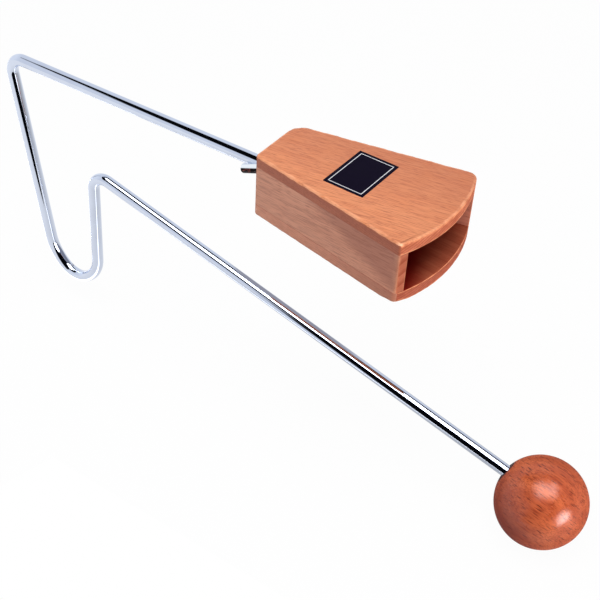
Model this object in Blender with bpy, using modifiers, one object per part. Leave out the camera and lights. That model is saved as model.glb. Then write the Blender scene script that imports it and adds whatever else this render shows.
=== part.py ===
"""A vibraslap: a bent steel rod with a wooden ball on one end and a wooden
resonator box, holding a plate of loose rivets, on the other.

Metres, +Z up. The origin is on the outer face of the box's bottom board, at
its middle. +X runs along the box from the rod's end to the open mouth, and
the rod lies in the XZ plane.
"""
import bmesh
import bpy
from math import acos, asin, atan2, cos, pi, radians, sin, sqrt, tan
from mathutils import Matrix, Vector

# Resonator box
box_length = 0.0890
mouth_bulge = 0.0079
narrow_width = 0.0342
mouth_width = 0.0693
cavity_height = 0.0213
board_thickness = 0.0060
wall_thickness = 0.0050
near_corner_radius = 0.0026
far_corner_radius = 0.0050
narrow_corner_wall_share = 0.9
top_edge_radius = 0.0011
bottom_edge_radius = 0.0005
mouth_edge_radius = 0.0009
glue_gap = 0.00015
end_block_length = 0.0180
origin_from_narrow_end = 0.0450

# Bent rod, as a wire bender is set: straight runs, leans and bend radii
rod_diameter = 0.0066
box_arm_length = 0.1657
drop_length = 0.1052
rise_length = 0.0517
ball_arm_length = 0.2864
top_bend_radius = 0.0090
grip_lead_radius = 0.0288
grip_lead_turn = radians(40.2)
grip_bend_radius = 0.0143
grip_bend_turn = radians(75.3)
grip_tail_radius = 0.02165
arm_bend_radius = 0.0090
drop_lean = radians(8.7)
rise_lean = radians(1.55)
ball_arm_dip = radians(14.24)
rod_bore_clearance = 0.00015

# Threaded end of the rod, with its washer and nut
thread_diameter = 0.0050
thread_tip_past_nut = 0.0020
thread_chamfer = 0.0006
washer_diameter = 0.0090
washer_thickness = 0.0010
nut_across_flats = 0.0080
nut_thickness = 0.0040
thread_clearance = 0.00012
seat_gap = 0.0001

# Striking ball
ball_diameter = 0.0470
ball_hole_offset = 0.0034
rod_tip_past_ball_middle = 0.0080
ball_hole_floor_gap = 0.0003

# Lock pin beside the rod
pin_diameter = 0.0048
pin_length = 0.0250
pin_reach = 0.0158
pin_dip = radians(21.3)
pin_rod_gap = 0.0002
pin_rise_at_face = 0.0029
pin_bevel = 0.0004
pin_bore_clearance = 0.00012

# Rattle plate
plate_thickness = 0.0012
plate_flange_rise = 0.0062
plate_bend_radius = 0.0006
plate_washer_gap = 0.00015
plate_screw_margin = 0.0036
plate_tip_margin = 0.0055
plate_corner_radius = 0.0030
plate_hole_clearance = 0.0003

# Plate screws
screw_washer_gap = 0.0012
screw_head_diameter = 0.0056
screw_head_height = 0.0018
screw_shank_diameter = 0.0030
screw_length = 0.0120
screw_tip_length = 0.0030
screw_bore_clearance = 0.00012

# Loose rivets
rivet_rows = 4
rivet_pitch = 0.0110
rivet_edge_margin = 0.0054
rivet_thread_gap = 0.0025
rivet_shank_diameter = 0.0030
rivet_hole_diameter = 0.0038
rivet_head_diameter = 0.0070
rivet_head_height = 0.0020
rivet_tail_diameter = 0.0054
rivet_tail_thickness = 0.0008
rivet_travel = 0.0015
rivet_rest_gap = 0.0003

# Facets
rod_bevel_resolution = 6
round_sides = 24
bend_step = radians(9)
mouth_steps = 20
corner_steps = 5
flat_angle = radians(0.1)

# Places that follow from the sizes
narrow_x = -origin_from_narrow_end
box_height = cavity_height + 2 * board_thickness
rod_height = box_height / 2
wall_angle = atan2((mouth_width - narrow_width) / 2, box_length)
wall_across = wall_thickness / cos(wall_angle)
corner_cut = tan((pi / 2 - wall_angle) / 2)
corner_limit = narrow_corner_wall_share * wall_across / corner_cut
near_corner = min(near_corner_radius, corner_limit)
far_corner = min(far_corner_radius, corner_limit)
mouth_radius = (mouth_width ** 2 / 4 + mouth_bulge ** 2) / (2 * mouth_bulge)
mouth_centre_x = box_length + mouth_bulge - mouth_radius
wall_bottom = board_thickness + glue_gap
wall_top = box_height - board_thickness - glue_gap
flange_back = end_block_length + seat_gap
flange_front = flange_back + plate_thickness
washer_back = flange_front + seat_gap
nut_back = washer_back + washer_thickness + seat_gap
thread_tip = nut_back + nut_thickness + thread_tip_past_nut
tongue_top = rod_height - washer_diameter / 2 - plate_washer_gap - plate_bend_radius
first_rivet = thread_tip + rivet_thread_gap
tongue_tip = first_rivet + (rivet_rows - 1) * rivet_pitch + plate_tip_margin
screw_side = (washer_diameter + screw_head_diameter) / 2 + screw_washer_gap
plate_width = 2 * (screw_side + plate_screw_margin)
rivet_side = plate_width / 2 - rivet_edge_margin
pin_side = (rod_diameter + pin_diameter) / 2 + pin_rod_gap


def clear_scene():
    for item in list(bpy.data.objects):
        bpy.data.objects.remove(item, do_unlink=True)


def new_collection(name):
    collection = bpy.data.collections.new(name)
    bpy.context.scene.collection.children.link(collection)
    return collection


def make_material(name, colour, roughness, metallic):
    material = bpy.data.materials.new(name)
    material.use_nodes = True
    shader = material.node_tree.nodes["Principled BSDF"]
    shader.inputs["Base Color"].default_value = (*colour, 1.0)
    shader.inputs["Roughness"].default_value = roughness
    shader.inputs["Metallic"].default_value = metallic
    material.diffuse_color = (*colour, 1.0)
    return material


def place(item, collection, material=None, parent=None):
    for owner in list(item.users_collection):
        owner.objects.unlink(item)
    collection.objects.link(item)
    if material:
        item.data.materials.clear()
        item.data.materials.append(material)
    if parent:
        item.parent = parent
    return item


def hide_cutter(item):
    item.hide_render = True
    item.display_type = 'WIRE'


def mesh_from_curve(item, name):
    """Turn a curve into a welded mesh object at the same place."""
    bpy.context.view_layer.update()
    evaluated = item.evaluated_get(bpy.context.evaluated_depsgraph_get())
    mesh = bpy.data.meshes.new_from_object(evaluated)
    weld = bmesh.new()
    weld.from_mesh(mesh)
    bmesh.ops.remove_doubles(weld, verts=weld.verts, dist=0.000001)
    bmesh.ops.recalc_face_normals(weld, faces=weld.faces)
    weld.to_mesh(mesh)
    weld.free()
    solid = bpy.data.objects.new(name, mesh)
    solid.matrix_world = item.matrix_world.copy()
    bpy.data.objects.remove(item, do_unlink=True)
    return solid


def join_flat_faces(item):
    """Make each flat side one face, so that its rim can be rounded."""
    flat = bmesh.new()
    flat.from_mesh(item.data)
    bmesh.ops.dissolve_limit(flat, angle_limit=flat_angle, verts=flat.verts, edges=flat.edges)
    flat.to_mesh(item.data)
    flat.free()


def flat_solid(name, outline, thickness):
    """A flat outline in the XY plane, thickened evenly about Z = 0."""
    curve = bpy.data.curves.new(name + "_outline", 'CURVE')
    curve.dimensions = '2D'
    curve.fill_mode = 'BOTH'
    curve.extrude = thickness / 2
    spline = curve.splines.new('POLY')
    spline.points.add(len(outline) - 1)
    for point, (x, y) in zip(spline.points, outline):
        point.co = (x, y, 0, 1)
    spline.use_cyclic_u = True
    item = bpy.data.objects.new(name + "_outline", curve)
    bpy.context.scene.collection.objects.link(item)
    solid = mesh_from_curve(item, name)
    join_flat_faces(solid)
    return solid


def turned_solid(name, profile, sides):
    """A profile of (radius, height) points turned about Z."""
    mesh = bpy.data.meshes.new(name)
    points = [(radius, 0, height) for radius, height in profile]
    mesh.from_pydata(points, [(i, i + 1) for i in range(len(points) - 1)], [])
    item = bpy.data.objects.new(name, mesh)
    turn = item.modifiers.new("Turn", 'SCREW')
    turn.axis = 'Z'
    turn.steps = sides
    turn.render_steps = sides
    turn.use_merge_vertices = True
    turn.merge_threshold = 0.00001
    turn.use_normal_calculate = True
    turn.use_normal_flip = True
    return item


def cylinder_between(name, start, end, radius, sides=round_sides):
    axis = end - start
    bpy.ops.mesh.primitive_cylinder_add(vertices=sides, radius=radius, depth=axis.length)
    item = bpy.context.object
    item.name = name
    item.location = (start + end) / 2
    item.rotation_mode = 'QUATERNION'
    item.rotation_quaternion = axis.to_track_quat('Z', 'Y')
    return item


def cut(item, cutter, name):
    boolean = item.modifiers.new(name, 'BOOLEAN')
    boolean.operation = 'DIFFERENCE'
    boolean.solver = 'EXACT'
    boolean.object = cutter


def weigh_edges(item, weight_of):
    """Give each edge the bevel weight that weight_of finds from its two ends."""
    mesh = item.data
    layer = mesh.attributes.new("bevel_weight_edge", 'FLOAT', 'EDGE')
    for edge in mesh.edges:
        ends = [mesh.vertices[i].co for i in edge.vertices]
        layer.data[edge.index].value = weight_of(*ends)


def round_edges(item, width, segments):
    bevel = item.modifiers.new("Round", 'BEVEL')
    bevel.width = width
    bevel.segments = segments
    bevel.limit_method = 'WEIGHT'
    bevel.use_clamp_overlap = True


def fillet(before, corner, after, radius):
    """Points of the arc that rounds a corner of an outline."""
    into = (Vector(before) - Vector(corner)).normalized()
    out = (Vector(after) - Vector(corner)).normalized()
    half = acos(max(-1.0, min(1.0, into.dot(out)))) / 2
    centre = Vector(corner) + (into + out).normalized() * radius / sin(half)
    first = Vector(corner) + into * radius / tan(half) - centre
    last = Vector(corner) + out * radius / tan(half) - centre
    sweep = first.angle_signed(last)
    steps = [first.copy() for _ in range(corner_steps + 1)]
    for i, arm in enumerate(steps):
        arm.rotate(Matrix.Rotation(-sweep * i / corner_steps, 2))
    return [tuple(centre + arm) for arm in steps]


def half_width(x):
    """Half of the box's outer width at x from its narrow end."""
    return narrow_width / 2 + (mouth_width - narrow_width) / 2 * x / box_length


def inner_half_width(x):
    return half_width(x) - wall_across


def mouth_meets(inset):
    """Where a line, inset across from the outer side, meets the mouth's arc."""
    slope = tan(wall_angle)
    start = narrow_width / 2 - inset
    a = 1 + slope ** 2
    b = 2 * (slope * start - mouth_centre_x)
    c = mouth_centre_x ** 2 + start ** 2 - mouth_radius ** 2
    x = (-b + sqrt(b * b - 4 * a * c)) / (2 * a)
    return x, start + slope * x


def mouth_arc(first_y, last_y, steps):
    first = asin(first_y / mouth_radius)
    last = asin(last_y / mouth_radius)
    turns = [first + (last - first) * i / steps for i in range(steps + 1)]
    return [(mouth_centre_x + mouth_radius * cos(t), mouth_radius * sin(t)) for t in turns]


def box_outline():
    near = (0, -narrow_width / 2)
    far = (0, narrow_width / 2)
    near_mouth = (box_length, -mouth_width / 2)
    far_mouth = (box_length, mouth_width / 2)
    outline = fillet(far, near, near_mouth, near_corner)
    outline += mouth_arc(-mouth_width / 2, mouth_width / 2, mouth_steps)
    outline += fillet(far_mouth, far, near, far_corner)
    return outline


def on_box(outline):
    return [(narrow_x + x, y) for x, y in outline]


def make_board(name, middle_height, outer_side, edge_radius):
    """A board of the box's whole plan, rounded on its outer side."""
    board = flat_solid(name, on_box(box_outline()), board_thickness)
    board.location.z = middle_height
    mouth_start = narrow_x + box_length - 0.00001
    mouth_weight = min(1.0, mouth_edge_radius / edge_radius)

    def weight(a, b):
        if a.z * outer_side < 0 or b.z * outer_side < 0:
            return 0.0
        return mouth_weight if min(a.x, b.x) > mouth_start else 1.0

    weigh_edges(board, weight)
    round_edges(board, edge_radius, 3)
    return board


def make_wall(name, side):
    _, inner_y = mouth_meets(wall_across)
    corner = fillet((0, 0), (0, narrow_width / 2), (box_length, mouth_width / 2),
                    far_corner if side > 0 else near_corner)
    outline = [(0, inner_half_width(0))] + corner
    outline += mouth_arc(mouth_width / 2, inner_y, corner_steps)
    outline = [(x, y * side) for x, y in outline]
    wall = flat_solid(name, on_box(outline), wall_top - wall_bottom)
    wall.location.z = (wall_top + wall_bottom) / 2
    return wall


def make_end_block():
    back = inner_half_width(0) - glue_gap
    front = inner_half_width(end_block_length) - glue_gap
    outline = [(0, -back), (end_block_length, -front), (end_block_length, front), (0, back)]
    block = flat_solid("end_block", on_box(outline), wall_top - wall_bottom)
    block.location.z = (wall_top + wall_bottom) / 2
    return block


def rod_route():
    """The rod's centre line from its threaded tip, its ball-arm end and direction."""
    down = -pi / 2 + drop_lean
    up = pi / 2 - rise_lean
    bends = [
        (thread_tip + box_arm_length, pi + down, top_bend_radius),
        (drop_length, grip_lead_turn, grip_lead_radius),
        (0, grip_bend_turn, grip_bend_radius),
        (0, up - down - grip_lead_turn - grip_bend_turn, grip_tail_radius),
        (rise_length, -ball_arm_dip - up, arm_bend_radius),
    ]
    spot = Vector((narrow_x + thread_tip, rod_height))
    heading = pi
    route = [spot.copy()]
    for length, turn, radius in bends:
        spot = spot + Vector((cos(heading), sin(heading))) * length
        side = 1 if turn > 0 else -1
        centre = spot + Vector((-sin(heading), cos(heading))) * radius * side
        steps = max(4, round(abs(turn) / bend_step))
        for i in range(0 if length else 1, steps + 1):
            angle = heading + turn * i / steps
            route.append(centre - Vector((-sin(angle), cos(angle))) * radius * side)
        spot = route[-1].copy()
        heading += turn
    along = Vector((cos(heading), sin(heading)))
    ball_spot = spot + along * ball_arm_length
    route.append(ball_spot + along * rod_tip_past_ball_middle)
    return route, ball_spot, along


def make_rod():
    route, _, _ = rod_route()
    thin = thread_diameter / rod_diameter
    shoulder = narrow_x + end_block_length
    tip = route[0]
    first = [
        (tip.x, (thread_diameter - 2 * thread_chamfer) / rod_diameter),
        (tip.x - thread_chamfer, thin),
        (shoulder + thread_chamfer / 4, thin),
        (shoulder, 1.0),
    ]
    points = [(x, rod_height, radius) for x, radius in first]
    points += [(spot.x, spot.y, 1.0) for spot in route[1:]]
    curve = bpy.data.curves.new("rod", 'CURVE')
    curve.dimensions = '3D'
    curve.bevel_depth = rod_diameter / 2
    curve.bevel_resolution = rod_bevel_resolution
    curve.use_fill_caps = True
    spline = curve.splines.new('POLY')
    spline.points.add(len(points) - 1)
    for point, (x, z, radius) in zip(spline.points, points):
        point.co = (x, 0, z, 1)
        point.radius = radius
    item = bpy.data.objects.new("rod_line", curve)
    bpy.context.scene.collection.objects.link(item)
    return mesh_from_curve(item, "rod")


def make_ball(cutters):
    _, spot, along = rod_route()
    below = Vector((along.y, -along.x))
    middle = spot + below * ball_hole_offset
    bpy.ops.mesh.primitive_uv_sphere_add(segments=36, ring_count=24, radius=ball_diameter / 2)
    ball = bpy.context.object
    ball.name = "ball"
    ball.location = (middle.x, 0, middle.y)
    # The ball's poles lie across the arm, where its grain runs out.
    ball.rotation_euler = (pi / 2, 0, 0)
    floor = spot + along * (rod_tip_past_ball_middle + ball_hole_floor_gap)
    outside = spot - along * ball_diameter
    bore = cylinder_between("ball_bore", Vector((outside.x, 0, outside.y)),
                            Vector((floor.x, 0, floor.y)),
                            rod_diameter / 2 + rod_bore_clearance)
    place(bore, cutters)
    hide_cutter(bore)
    cut(ball, bore, "Rod hole")
    return ball


def pin_ends(extra):
    """The pin's two ends, each lengthened by extra along its own axis."""
    outward = Vector((-cos(pin_dip), 0, -sin(pin_dip)))
    face = Vector((narrow_x, -pin_side, rod_height + pin_rise_at_face))
    tip = face + outward * (pin_reach + extra)
    root = face - outward * (pin_length - pin_reach + extra)
    return tip, root


def make_pin():
    tip, root = pin_ends(0)
    pin = cylinder_between("lock_pin", root, tip, pin_diameter / 2)
    weigh_edges(pin, lambda a, b: 1.0 if abs(a.z - b.z) < pin_diameter / 4 else 0.0)
    round_edges(pin, pin_bevel, 2)
    return pin


def x_cylinder(name, start_x, end_x, y, radius, sides=round_sides):
    start = Vector((narrow_x + start_x, y, rod_height))
    end = Vector((narrow_x + end_x, y, rod_height))
    return cylinder_between(name, start, end, radius, sides)


def bore_end_block(block, cutters):
    past = end_block_length / 4
    bores = [x_cylinder("rod_bore", -past, end_block_length + past, 0,
                        rod_diameter / 2 + rod_bore_clearance)]
    tip, root = pin_ends(pin_bore_clearance)
    bores.append(cylinder_between("pin_bore", root, tip, pin_diameter / 2 + pin_bore_clearance))
    for side in (-1, 1):
        screw_end = flange_front - screw_length - screw_bore_clearance
        bores.append(x_cylinder("screw_bore", screw_end, end_block_length + past,
                                side * screw_side,
                                screw_shank_diameter / 2 + screw_bore_clearance))
    for bore in bores:
        place(bore, cutters)
        hide_cutter(bore)
        cut(block, bore, bore.name)


def rivet_spots():
    """Middle of each rivet's hole, in rows from the nut to the tongue's tip."""
    spots = []
    for row in range(rivet_rows):
        x = narrow_x + first_rivet + row * rivet_pitch
        spots += [(x, side * rivet_side) for side in (-1, 1)]
    return spots


def make_plate(cutters):
    """A strip bent once: a flange on the end block and a tongue under the nut."""
    inside = plate_bend_radius
    outside = plate_bend_radius + plate_thickness
    top = tongue_top
    bottom = tongue_top - plate_thickness
    turn = (narrow_x + flange_front + inside, top + inside)
    bend = [radians(270 - 90 * i / corner_steps) for i in range(corner_steps + 1)]
    outer = [(turn[0] + outside * cos(t), turn[1] + outside * sin(t)) for t in bend]
    inner = [(turn[0] + inside * cos(t), turn[1] + inside * sin(t)) for t in reversed(bend)]
    flange_top = rod_height + plate_flange_rise
    profile = [(narrow_x + tongue_tip, bottom)] + outer
    profile += [(narrow_x + flange_back, flange_top), (narrow_x + flange_front, flange_top)]
    profile += inner + [(narrow_x + tongue_tip, top)]
    plate = flat_solid("rattle_plate", profile, plate_width)
    plate.rotation_euler = (pi / 2, 0, 0)

    def corner_weight(a, b):
        across = abs(a.z - b.z) < plate_thickness / 10
        at_tip = min(a.x, b.x) > narrow_x + tongue_tip - plate_thickness / 10
        at_top = min(a.y, b.y) > flange_top - plate_thickness / 10
        return 1.0 if across and (at_tip or at_top) else 0.0

    weigh_edges(plate, corner_weight)
    round_edges(plate, plate_corner_radius, 4)
    reach = 4 * plate_thickness
    holes = [x_cylinder("thread_hole", flange_back - reach, flange_front + reach, 0,
                        thread_diameter / 2 + plate_hole_clearance)]
    for side in (-1, 1):
        holes.append(x_cylinder("screw_hole", flange_back - reach, flange_front + reach,
                                side * screw_side,
                                screw_shank_diameter / 2 + plate_hole_clearance))
    for x, y in rivet_spots():
        holes.append(cylinder_between("rivet_hole", Vector((x, y, bottom - reach)),
                                      Vector((x, y, top + reach)), rivet_hole_diameter / 2))
    for hole in holes:
        place(hole, cutters)
        hide_cutter(hole)
        cut(plate, hole, hole.name)
    return plate


def make_washer():
    hole = thread_diameter / 2 + thread_clearance
    rim = washer_diameter / 2
    ring = [(hole, 0), (rim, 0), (rim, washer_thickness), (hole, washer_thickness), (hole, 0)]
    washer = turned_solid("rod_washer", ring, round_sides)
    washer.location = (narrow_x + washer_back, 0, rod_height)
    washer.rotation_euler = (0, pi / 2, 0)
    return washer


def make_nut(cutters):
    corner_radius = nut_across_flats / 2 / cos(pi / 6)
    bpy.ops.mesh.primitive_cylinder_add(vertices=6, radius=corner_radius, depth=nut_thickness)
    nut = bpy.context.object
    nut.name = "rod_nut"
    nut.location = (narrow_x + nut_back + nut_thickness / 2, 0, rod_height)
    nut.rotation_euler = (0, pi / 2, 0)
    bore = x_cylinder("nut_bore", nut_back - nut_thickness, nut_back + 2 * nut_thickness, 0,
                      thread_diameter / 2 + thread_clearance)
    place(bore, cutters)
    hide_cutter(bore)
    cut(nut, bore, "Thread")
    return nut


def make_screw(name, side):
    """A round-headed wood screw, its head on the flange and its point in the block."""
    head = screw_head_diameter / 2
    shank = screw_shank_diameter / 2
    point = screw_length - screw_tip_length
    dome = [(head * cos(t), screw_head_height * sin(t)) for t in
            [pi / 2 * i / corner_steps for i in range(corner_steps + 1)]]
    profile = [(0, -screw_length), (shank, -point), (shank, 0)] + dome[:-1]
    profile.append((0, screw_head_height))
    screw = turned_solid(name, profile, round_sides // 2)
    screw.location = (narrow_x + flange_front + seat_gap, side * screw_side, rod_height)
    screw.rotation_euler = (0, pi / 2, 0)
    return screw


def make_rivet(name, spot):
    """A loose rivet, resting by its head just above the plate."""
    head = rivet_head_diameter / 2
    shank = rivet_shank_diameter / 2
    tail = rivet_tail_diameter / 2
    grip = rivet_rest_gap + plate_thickness + rivet_travel + rivet_rest_gap
    dome = [(head * cos(t), rivet_head_height * sin(t)) for t in
            [pi / 2 * i / corner_steps for i in range(corner_steps + 1)]]
    profile = [(0, -grip - rivet_tail_thickness), (tail, -grip - rivet_tail_thickness)]
    profile += [(tail, -grip), (shank, -grip), (shank, 0)] + dome[:-1]
    profile.append((0, rivet_head_height))
    rivet = turned_solid(name, profile, round_sides // 2)
    rivet.location = (spot[0], spot[1], tongue_top + rivet_rest_gap)
    return rivet


def main():
    clear_scene()
    parts = new_collection("vibraslap")
    cutters = new_collection("cutters")
    wood = make_material("beech", (0.62, 0.28, 0.15), 0.45, 0.0)
    inner_wood = make_material("end_grain_beech", (0.42, 0.17, 0.10), 0.60, 0.0)
    ball_wood = make_material("ball_wood", (0.42, 0.10, 0.04), 0.30, 0.0)
    chrome = make_material("chrome", (0.80, 0.83, 0.88), 0.08, 1.0)
    spring_steel = make_material("spring_steel", (0.45, 0.46, 0.48), 0.35, 1.0)
    zinc = make_material("zinc", (0.62, 0.63, 0.62), 0.30, 1.0)

    root = bpy.data.objects.new("vibraslap_root", None)
    parts.objects.link(root)
    lower = board_thickness / 2
    bottom = make_board("bottom_board", lower, -1, bottom_edge_radius)
    top = make_board("top_board", box_height - lower, 1, top_edge_radius)
    place(bottom, parts, wood, root)
    place(top, parts, wood, root)
    place(make_wall("near_wall", -1), parts, wood, root)
    place(make_wall("far_wall", 1), parts, wood, root)
    block = place(make_end_block(), parts, inner_wood, root)
    bore_end_block(block, cutters)
    place(make_rod(), parts, chrome, root)
    place(make_ball(cutters), parts, ball_wood, root)
    place(make_pin(), parts, chrome, root)
    place(make_plate(cutters), parts, spring_steel, root)
    place(make_washer(), parts, zinc, root)
    place(make_nut(cutters), parts, zinc, root)
    for side, name in ((-1, "near_plate_screw"), (1, "far_plate_screw")):
        place(make_screw(name, side), parts, zinc, root)
    for number, spot in enumerate(rivet_spots(), 1):
        place(make_rivet(f"rivet_{number}", spot), parts, zinc, root)
    bpy.context.view_layer.update()


main()
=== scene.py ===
from math import atan, atan2, cos, pi, radians, sin, sqrt, tan

import bmesh
import bpy
from mathutils import Matrix, Vector

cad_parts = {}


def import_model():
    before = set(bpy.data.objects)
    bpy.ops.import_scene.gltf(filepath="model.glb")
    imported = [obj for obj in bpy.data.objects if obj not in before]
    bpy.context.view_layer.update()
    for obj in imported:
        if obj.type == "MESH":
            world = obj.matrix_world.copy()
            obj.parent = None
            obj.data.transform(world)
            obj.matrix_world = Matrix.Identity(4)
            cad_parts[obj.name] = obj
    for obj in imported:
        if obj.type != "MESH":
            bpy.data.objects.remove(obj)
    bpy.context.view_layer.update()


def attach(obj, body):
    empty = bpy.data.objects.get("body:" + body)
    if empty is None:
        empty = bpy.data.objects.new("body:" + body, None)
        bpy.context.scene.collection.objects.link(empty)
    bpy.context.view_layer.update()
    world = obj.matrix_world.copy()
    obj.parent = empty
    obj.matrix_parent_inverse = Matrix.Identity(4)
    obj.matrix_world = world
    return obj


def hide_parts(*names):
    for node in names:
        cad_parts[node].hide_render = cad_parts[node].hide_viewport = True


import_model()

# pieces are measured in millimetres, with x along the box and z up, and makeMesh turns that into
# metres; the studio is in metres
scale = 0.001
wholeTurn = 2 * pi


# small helpers for shader nodes

def tone(red, green, blue):
    # a colour as it looks on screen, 0 to 255
    shares = [channel / 255 for channel in (red, green, blue)]
    return tuple(((s + 0.055) / 1.055) ** 2.4 if s > 0.04 else s / 12.92 for s in shares) + (1.0,)


def put(tree, kind, inputs=None, **settings):
    node = tree.nodes.new("ShaderNode" + kind)
    for key, value in settings.items():
        setattr(node, key, value)
    for key, value in (inputs or {}).items():
        if isinstance(value, bpy.types.NodeSocket):
            tree.links.new(value, node.inputs[key])
        else:
            node.inputs[key].default_value = value
    return node


def sums(tree, operation, *values):
    return put(tree, "Math", dict(enumerate(values)), operation=operation).outputs[0]


def blendTones(tree, share, first, second, way="MIX"):
    node = put(tree, "Mix", {0: share, 6: first, 7: second}, data_type="RGBA", blend_type=way)
    return node.outputs[2]


def spread(tree, value, low, high, toLow=0.0, toHigh=1.0):
    node = put(tree, "MapRange", {0: value, 1: low, 2: high, 3: toLow, 4: toHigh},
               interpolation_type="SMOOTHSTEP")
    return node.outputs[0]


def vectors(tree, operation, first, second):
    return put(tree, "VectorMath", {0: first, 1: second}, operation=operation).outputs[0]


def alongWay(tree, vector, way):
    # how far a place lies along a direction
    return put(tree, "VectorMath", {0: vector, 1: way}, operation="DOT_PRODUCT").outputs["Value"]


def noise(tree, vector, factors, detail=2.0, rough=0.5):
    node = put(tree, "TexNoise", {"Vector": vectors(tree, "MULTIPLY", vector, factors),
                                  "Scale": 1.0, "Detail": detail, "Roughness": rough})
    return node.outputs[0]


def startGroup(name, inputs, outputs):
    tree = bpy.data.node_groups.new(name, "ShaderNodeTree")
    for label, kind, value in inputs:
        socket = tree.interface.new_socket(label, in_out="INPUT", socket_type="NodeSocket" + kind)
        if value is not None:
            socket.default_value = value
    for label, kind in outputs:
        tree.interface.new_socket(label, in_out="OUTPUT", socket_type="NodeSocket" + kind)
    return tree, tree.nodes.new("NodeGroupInput").outputs, tree.nodes.new("NodeGroupOutput").inputs


def useGroup(tree, group, inputs):
    return put(tree, "Group", inputs, node_tree=group).outputs


def startMaterial(name, fixed):
    material = bpy.data.materials.new(name)
    material.use_nodes = True
    shader = material.node_tree.nodes["Principled BSDF"]
    for key, value in fixed.items():
        shader.inputs[key].default_value = value
    return material, material.node_tree, shader.inputs


def dress(tree, shader, colour, roughness, height, strength, depth):
    # joins what changes over a surface to its shader
    bump = put(tree, "Bump", {"Height": height, "Strength": strength, "Distance": depth})
    tree.links.new(colour, shader["Base Color"])
    tree.links.new(roughness, shader["Roughness"])
    tree.links.new(bump.outputs[0], shader["Normal"])


def partCoords(tree, turn=(0, 0, 0), shift=(0, 0, 0)):
    # place on the part in millimetres, turned so that x runs along the grain
    where = put(tree, "TexCoord").outputs["Object"]
    return put(tree, "Mapping", {"Vector": where, "Location": shift, "Scale": [1 / scale] * 3,
                                 "Rotation": [radians(angle) for angle in turn]}).outputs[0]


# shared effects, each built once

# a grain says how often its noise changes in a millimetre along x, y and z
beechPlan = {"wander": (0.011, 0.05, 0.05), "ringRise": (0.25, 0.88), "ringFall": (1.0, 0.9),
             "streakGrain": (0.013, 0.22, 0.22), "streakRun": (0.32, 0.68),
             "fibreGrain": (0.1, 1.9, 1.9), "fibreRun": (0.42, 0.72), "ringSink": -0.3}
fleckPlan = {"depthSpan": 0.6, "leastDepth": 0.4}
rubAndPaintedLightPlan = {"grain": (0.16, 0.16, 0.16), "run": (0.30, 0.68), "bare": 0.3}
mottlePlan = {"grain": (1, 1, 1), "from": 0.3, "to": 0.7}


def makeBeechFigure():
    # growth rings round a far-off middle, broad streaks and fine fibres
    tree, entry, leave = startGroup("beechFigure", [
        ("Vector", "Vector", None), ("Pith", "Vector", (0, 0, -60)), ("Ring Width", "Float", 3.0),
        ("Ring Warp", "Float", 5.0), ("Ring Strength", "Float", 0.4),
        ("Streak Strength", "Float", 0.6), ("Fibre Strength", "Float", 0.4),
        ("Pale", "Color", None), ("Middle", "Color", None), ("Dark", "Color", None),
    ], [("Color", "Color"), ("Height", "Float")])
    grain = entry["Vector"]
    wander = noise(tree, grain, beechPlan["wander"])
    away = vectors(tree, "SUBTRACT", grain, entry["Pith"])
    away = vectors(tree, "MULTIPLY", away, (0, 1, 1))
    radius = put(tree, "VectorMath", {0: away}, operation="LENGTH").outputs["Value"]
    radius = sums(tree, "MULTIPLY_ADD", wander, entry["Ring Warp"], radius)
    phase = sums(tree, "FRACT", sums(tree, "DIVIDE", radius, entry["Ring Width"]))
    ring = sums(tree, "MULTIPLY", spread(tree, phase, *beechPlan["ringRise"]),
                spread(tree, phase, *beechPlan["ringFall"]))
    streak = noise(tree, grain, beechPlan["streakGrain"], detail=3.0)
    streak = spread(tree, streak, *beechPlan["streakRun"])
    fibre = noise(tree, grain, beechPlan["fibreGrain"], detail=3.0, rough=0.6)
    colour = blendTones(tree, sums(tree, "MULTIPLY", streak, entry["Streak Strength"]),
                        entry["Pale"], entry["Middle"])
    colour = blendTones(tree, sums(tree, "MULTIPLY", ring, entry["Ring Strength"]),
                        colour, entry["Dark"])
    fibreShade = spread(tree, fibre, *beechPlan["fibreRun"])
    colour = blendTones(tree, sums(tree, "MULTIPLY", fibreShade, entry["Fibre Strength"]),
                        colour, entry["Dark"])
    tree.links.new(colour, leave["Color"])
    tree.links.new(sums(tree, "MULTIPLY_ADD", ring, beechPlan["ringSink"], fibre), leave["Height"])
    return tree


def makeRayFlecks():
    # short spindle-shaped marks that lie along the grain
    tree, entry, leave = startGroup("rayFlecks", [
        ("Vector", "Vector", None), ("Cell", "Vector", (4.0, 0.6, 3.0)), ("Share", "Float", 0.6),
        ("Core", "Float", 0.12), ("Edge", "Float", 0.33),
    ], [("Mask", "Float")])
    cell = vectors(tree, "DIVIDE", entry["Vector"], entry["Cell"])
    marks = put(tree, "TexVoronoi", {"Vector": cell, "Scale": 1.0}, feature="F1")
    lens = spread(tree, marks.outputs["Distance"], entry["Edge"], entry["Core"])
    lot = put(tree, "SeparateColor", {0: marks.outputs["Color"]}).outputs
    chosen = sums(tree, "LESS_THAN", lot[0], entry["Share"])
    depth = sums(tree, "MULTIPLY_ADD", lot[1], fleckPlan["depthSpan"], fleckPlan["leastDepth"])
    tree.links.new(sums(tree, "MULTIPLY", sums(tree, "MULTIPLY", lens, chosen), depth),
                   leave["Mask"])
    return tree


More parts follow.
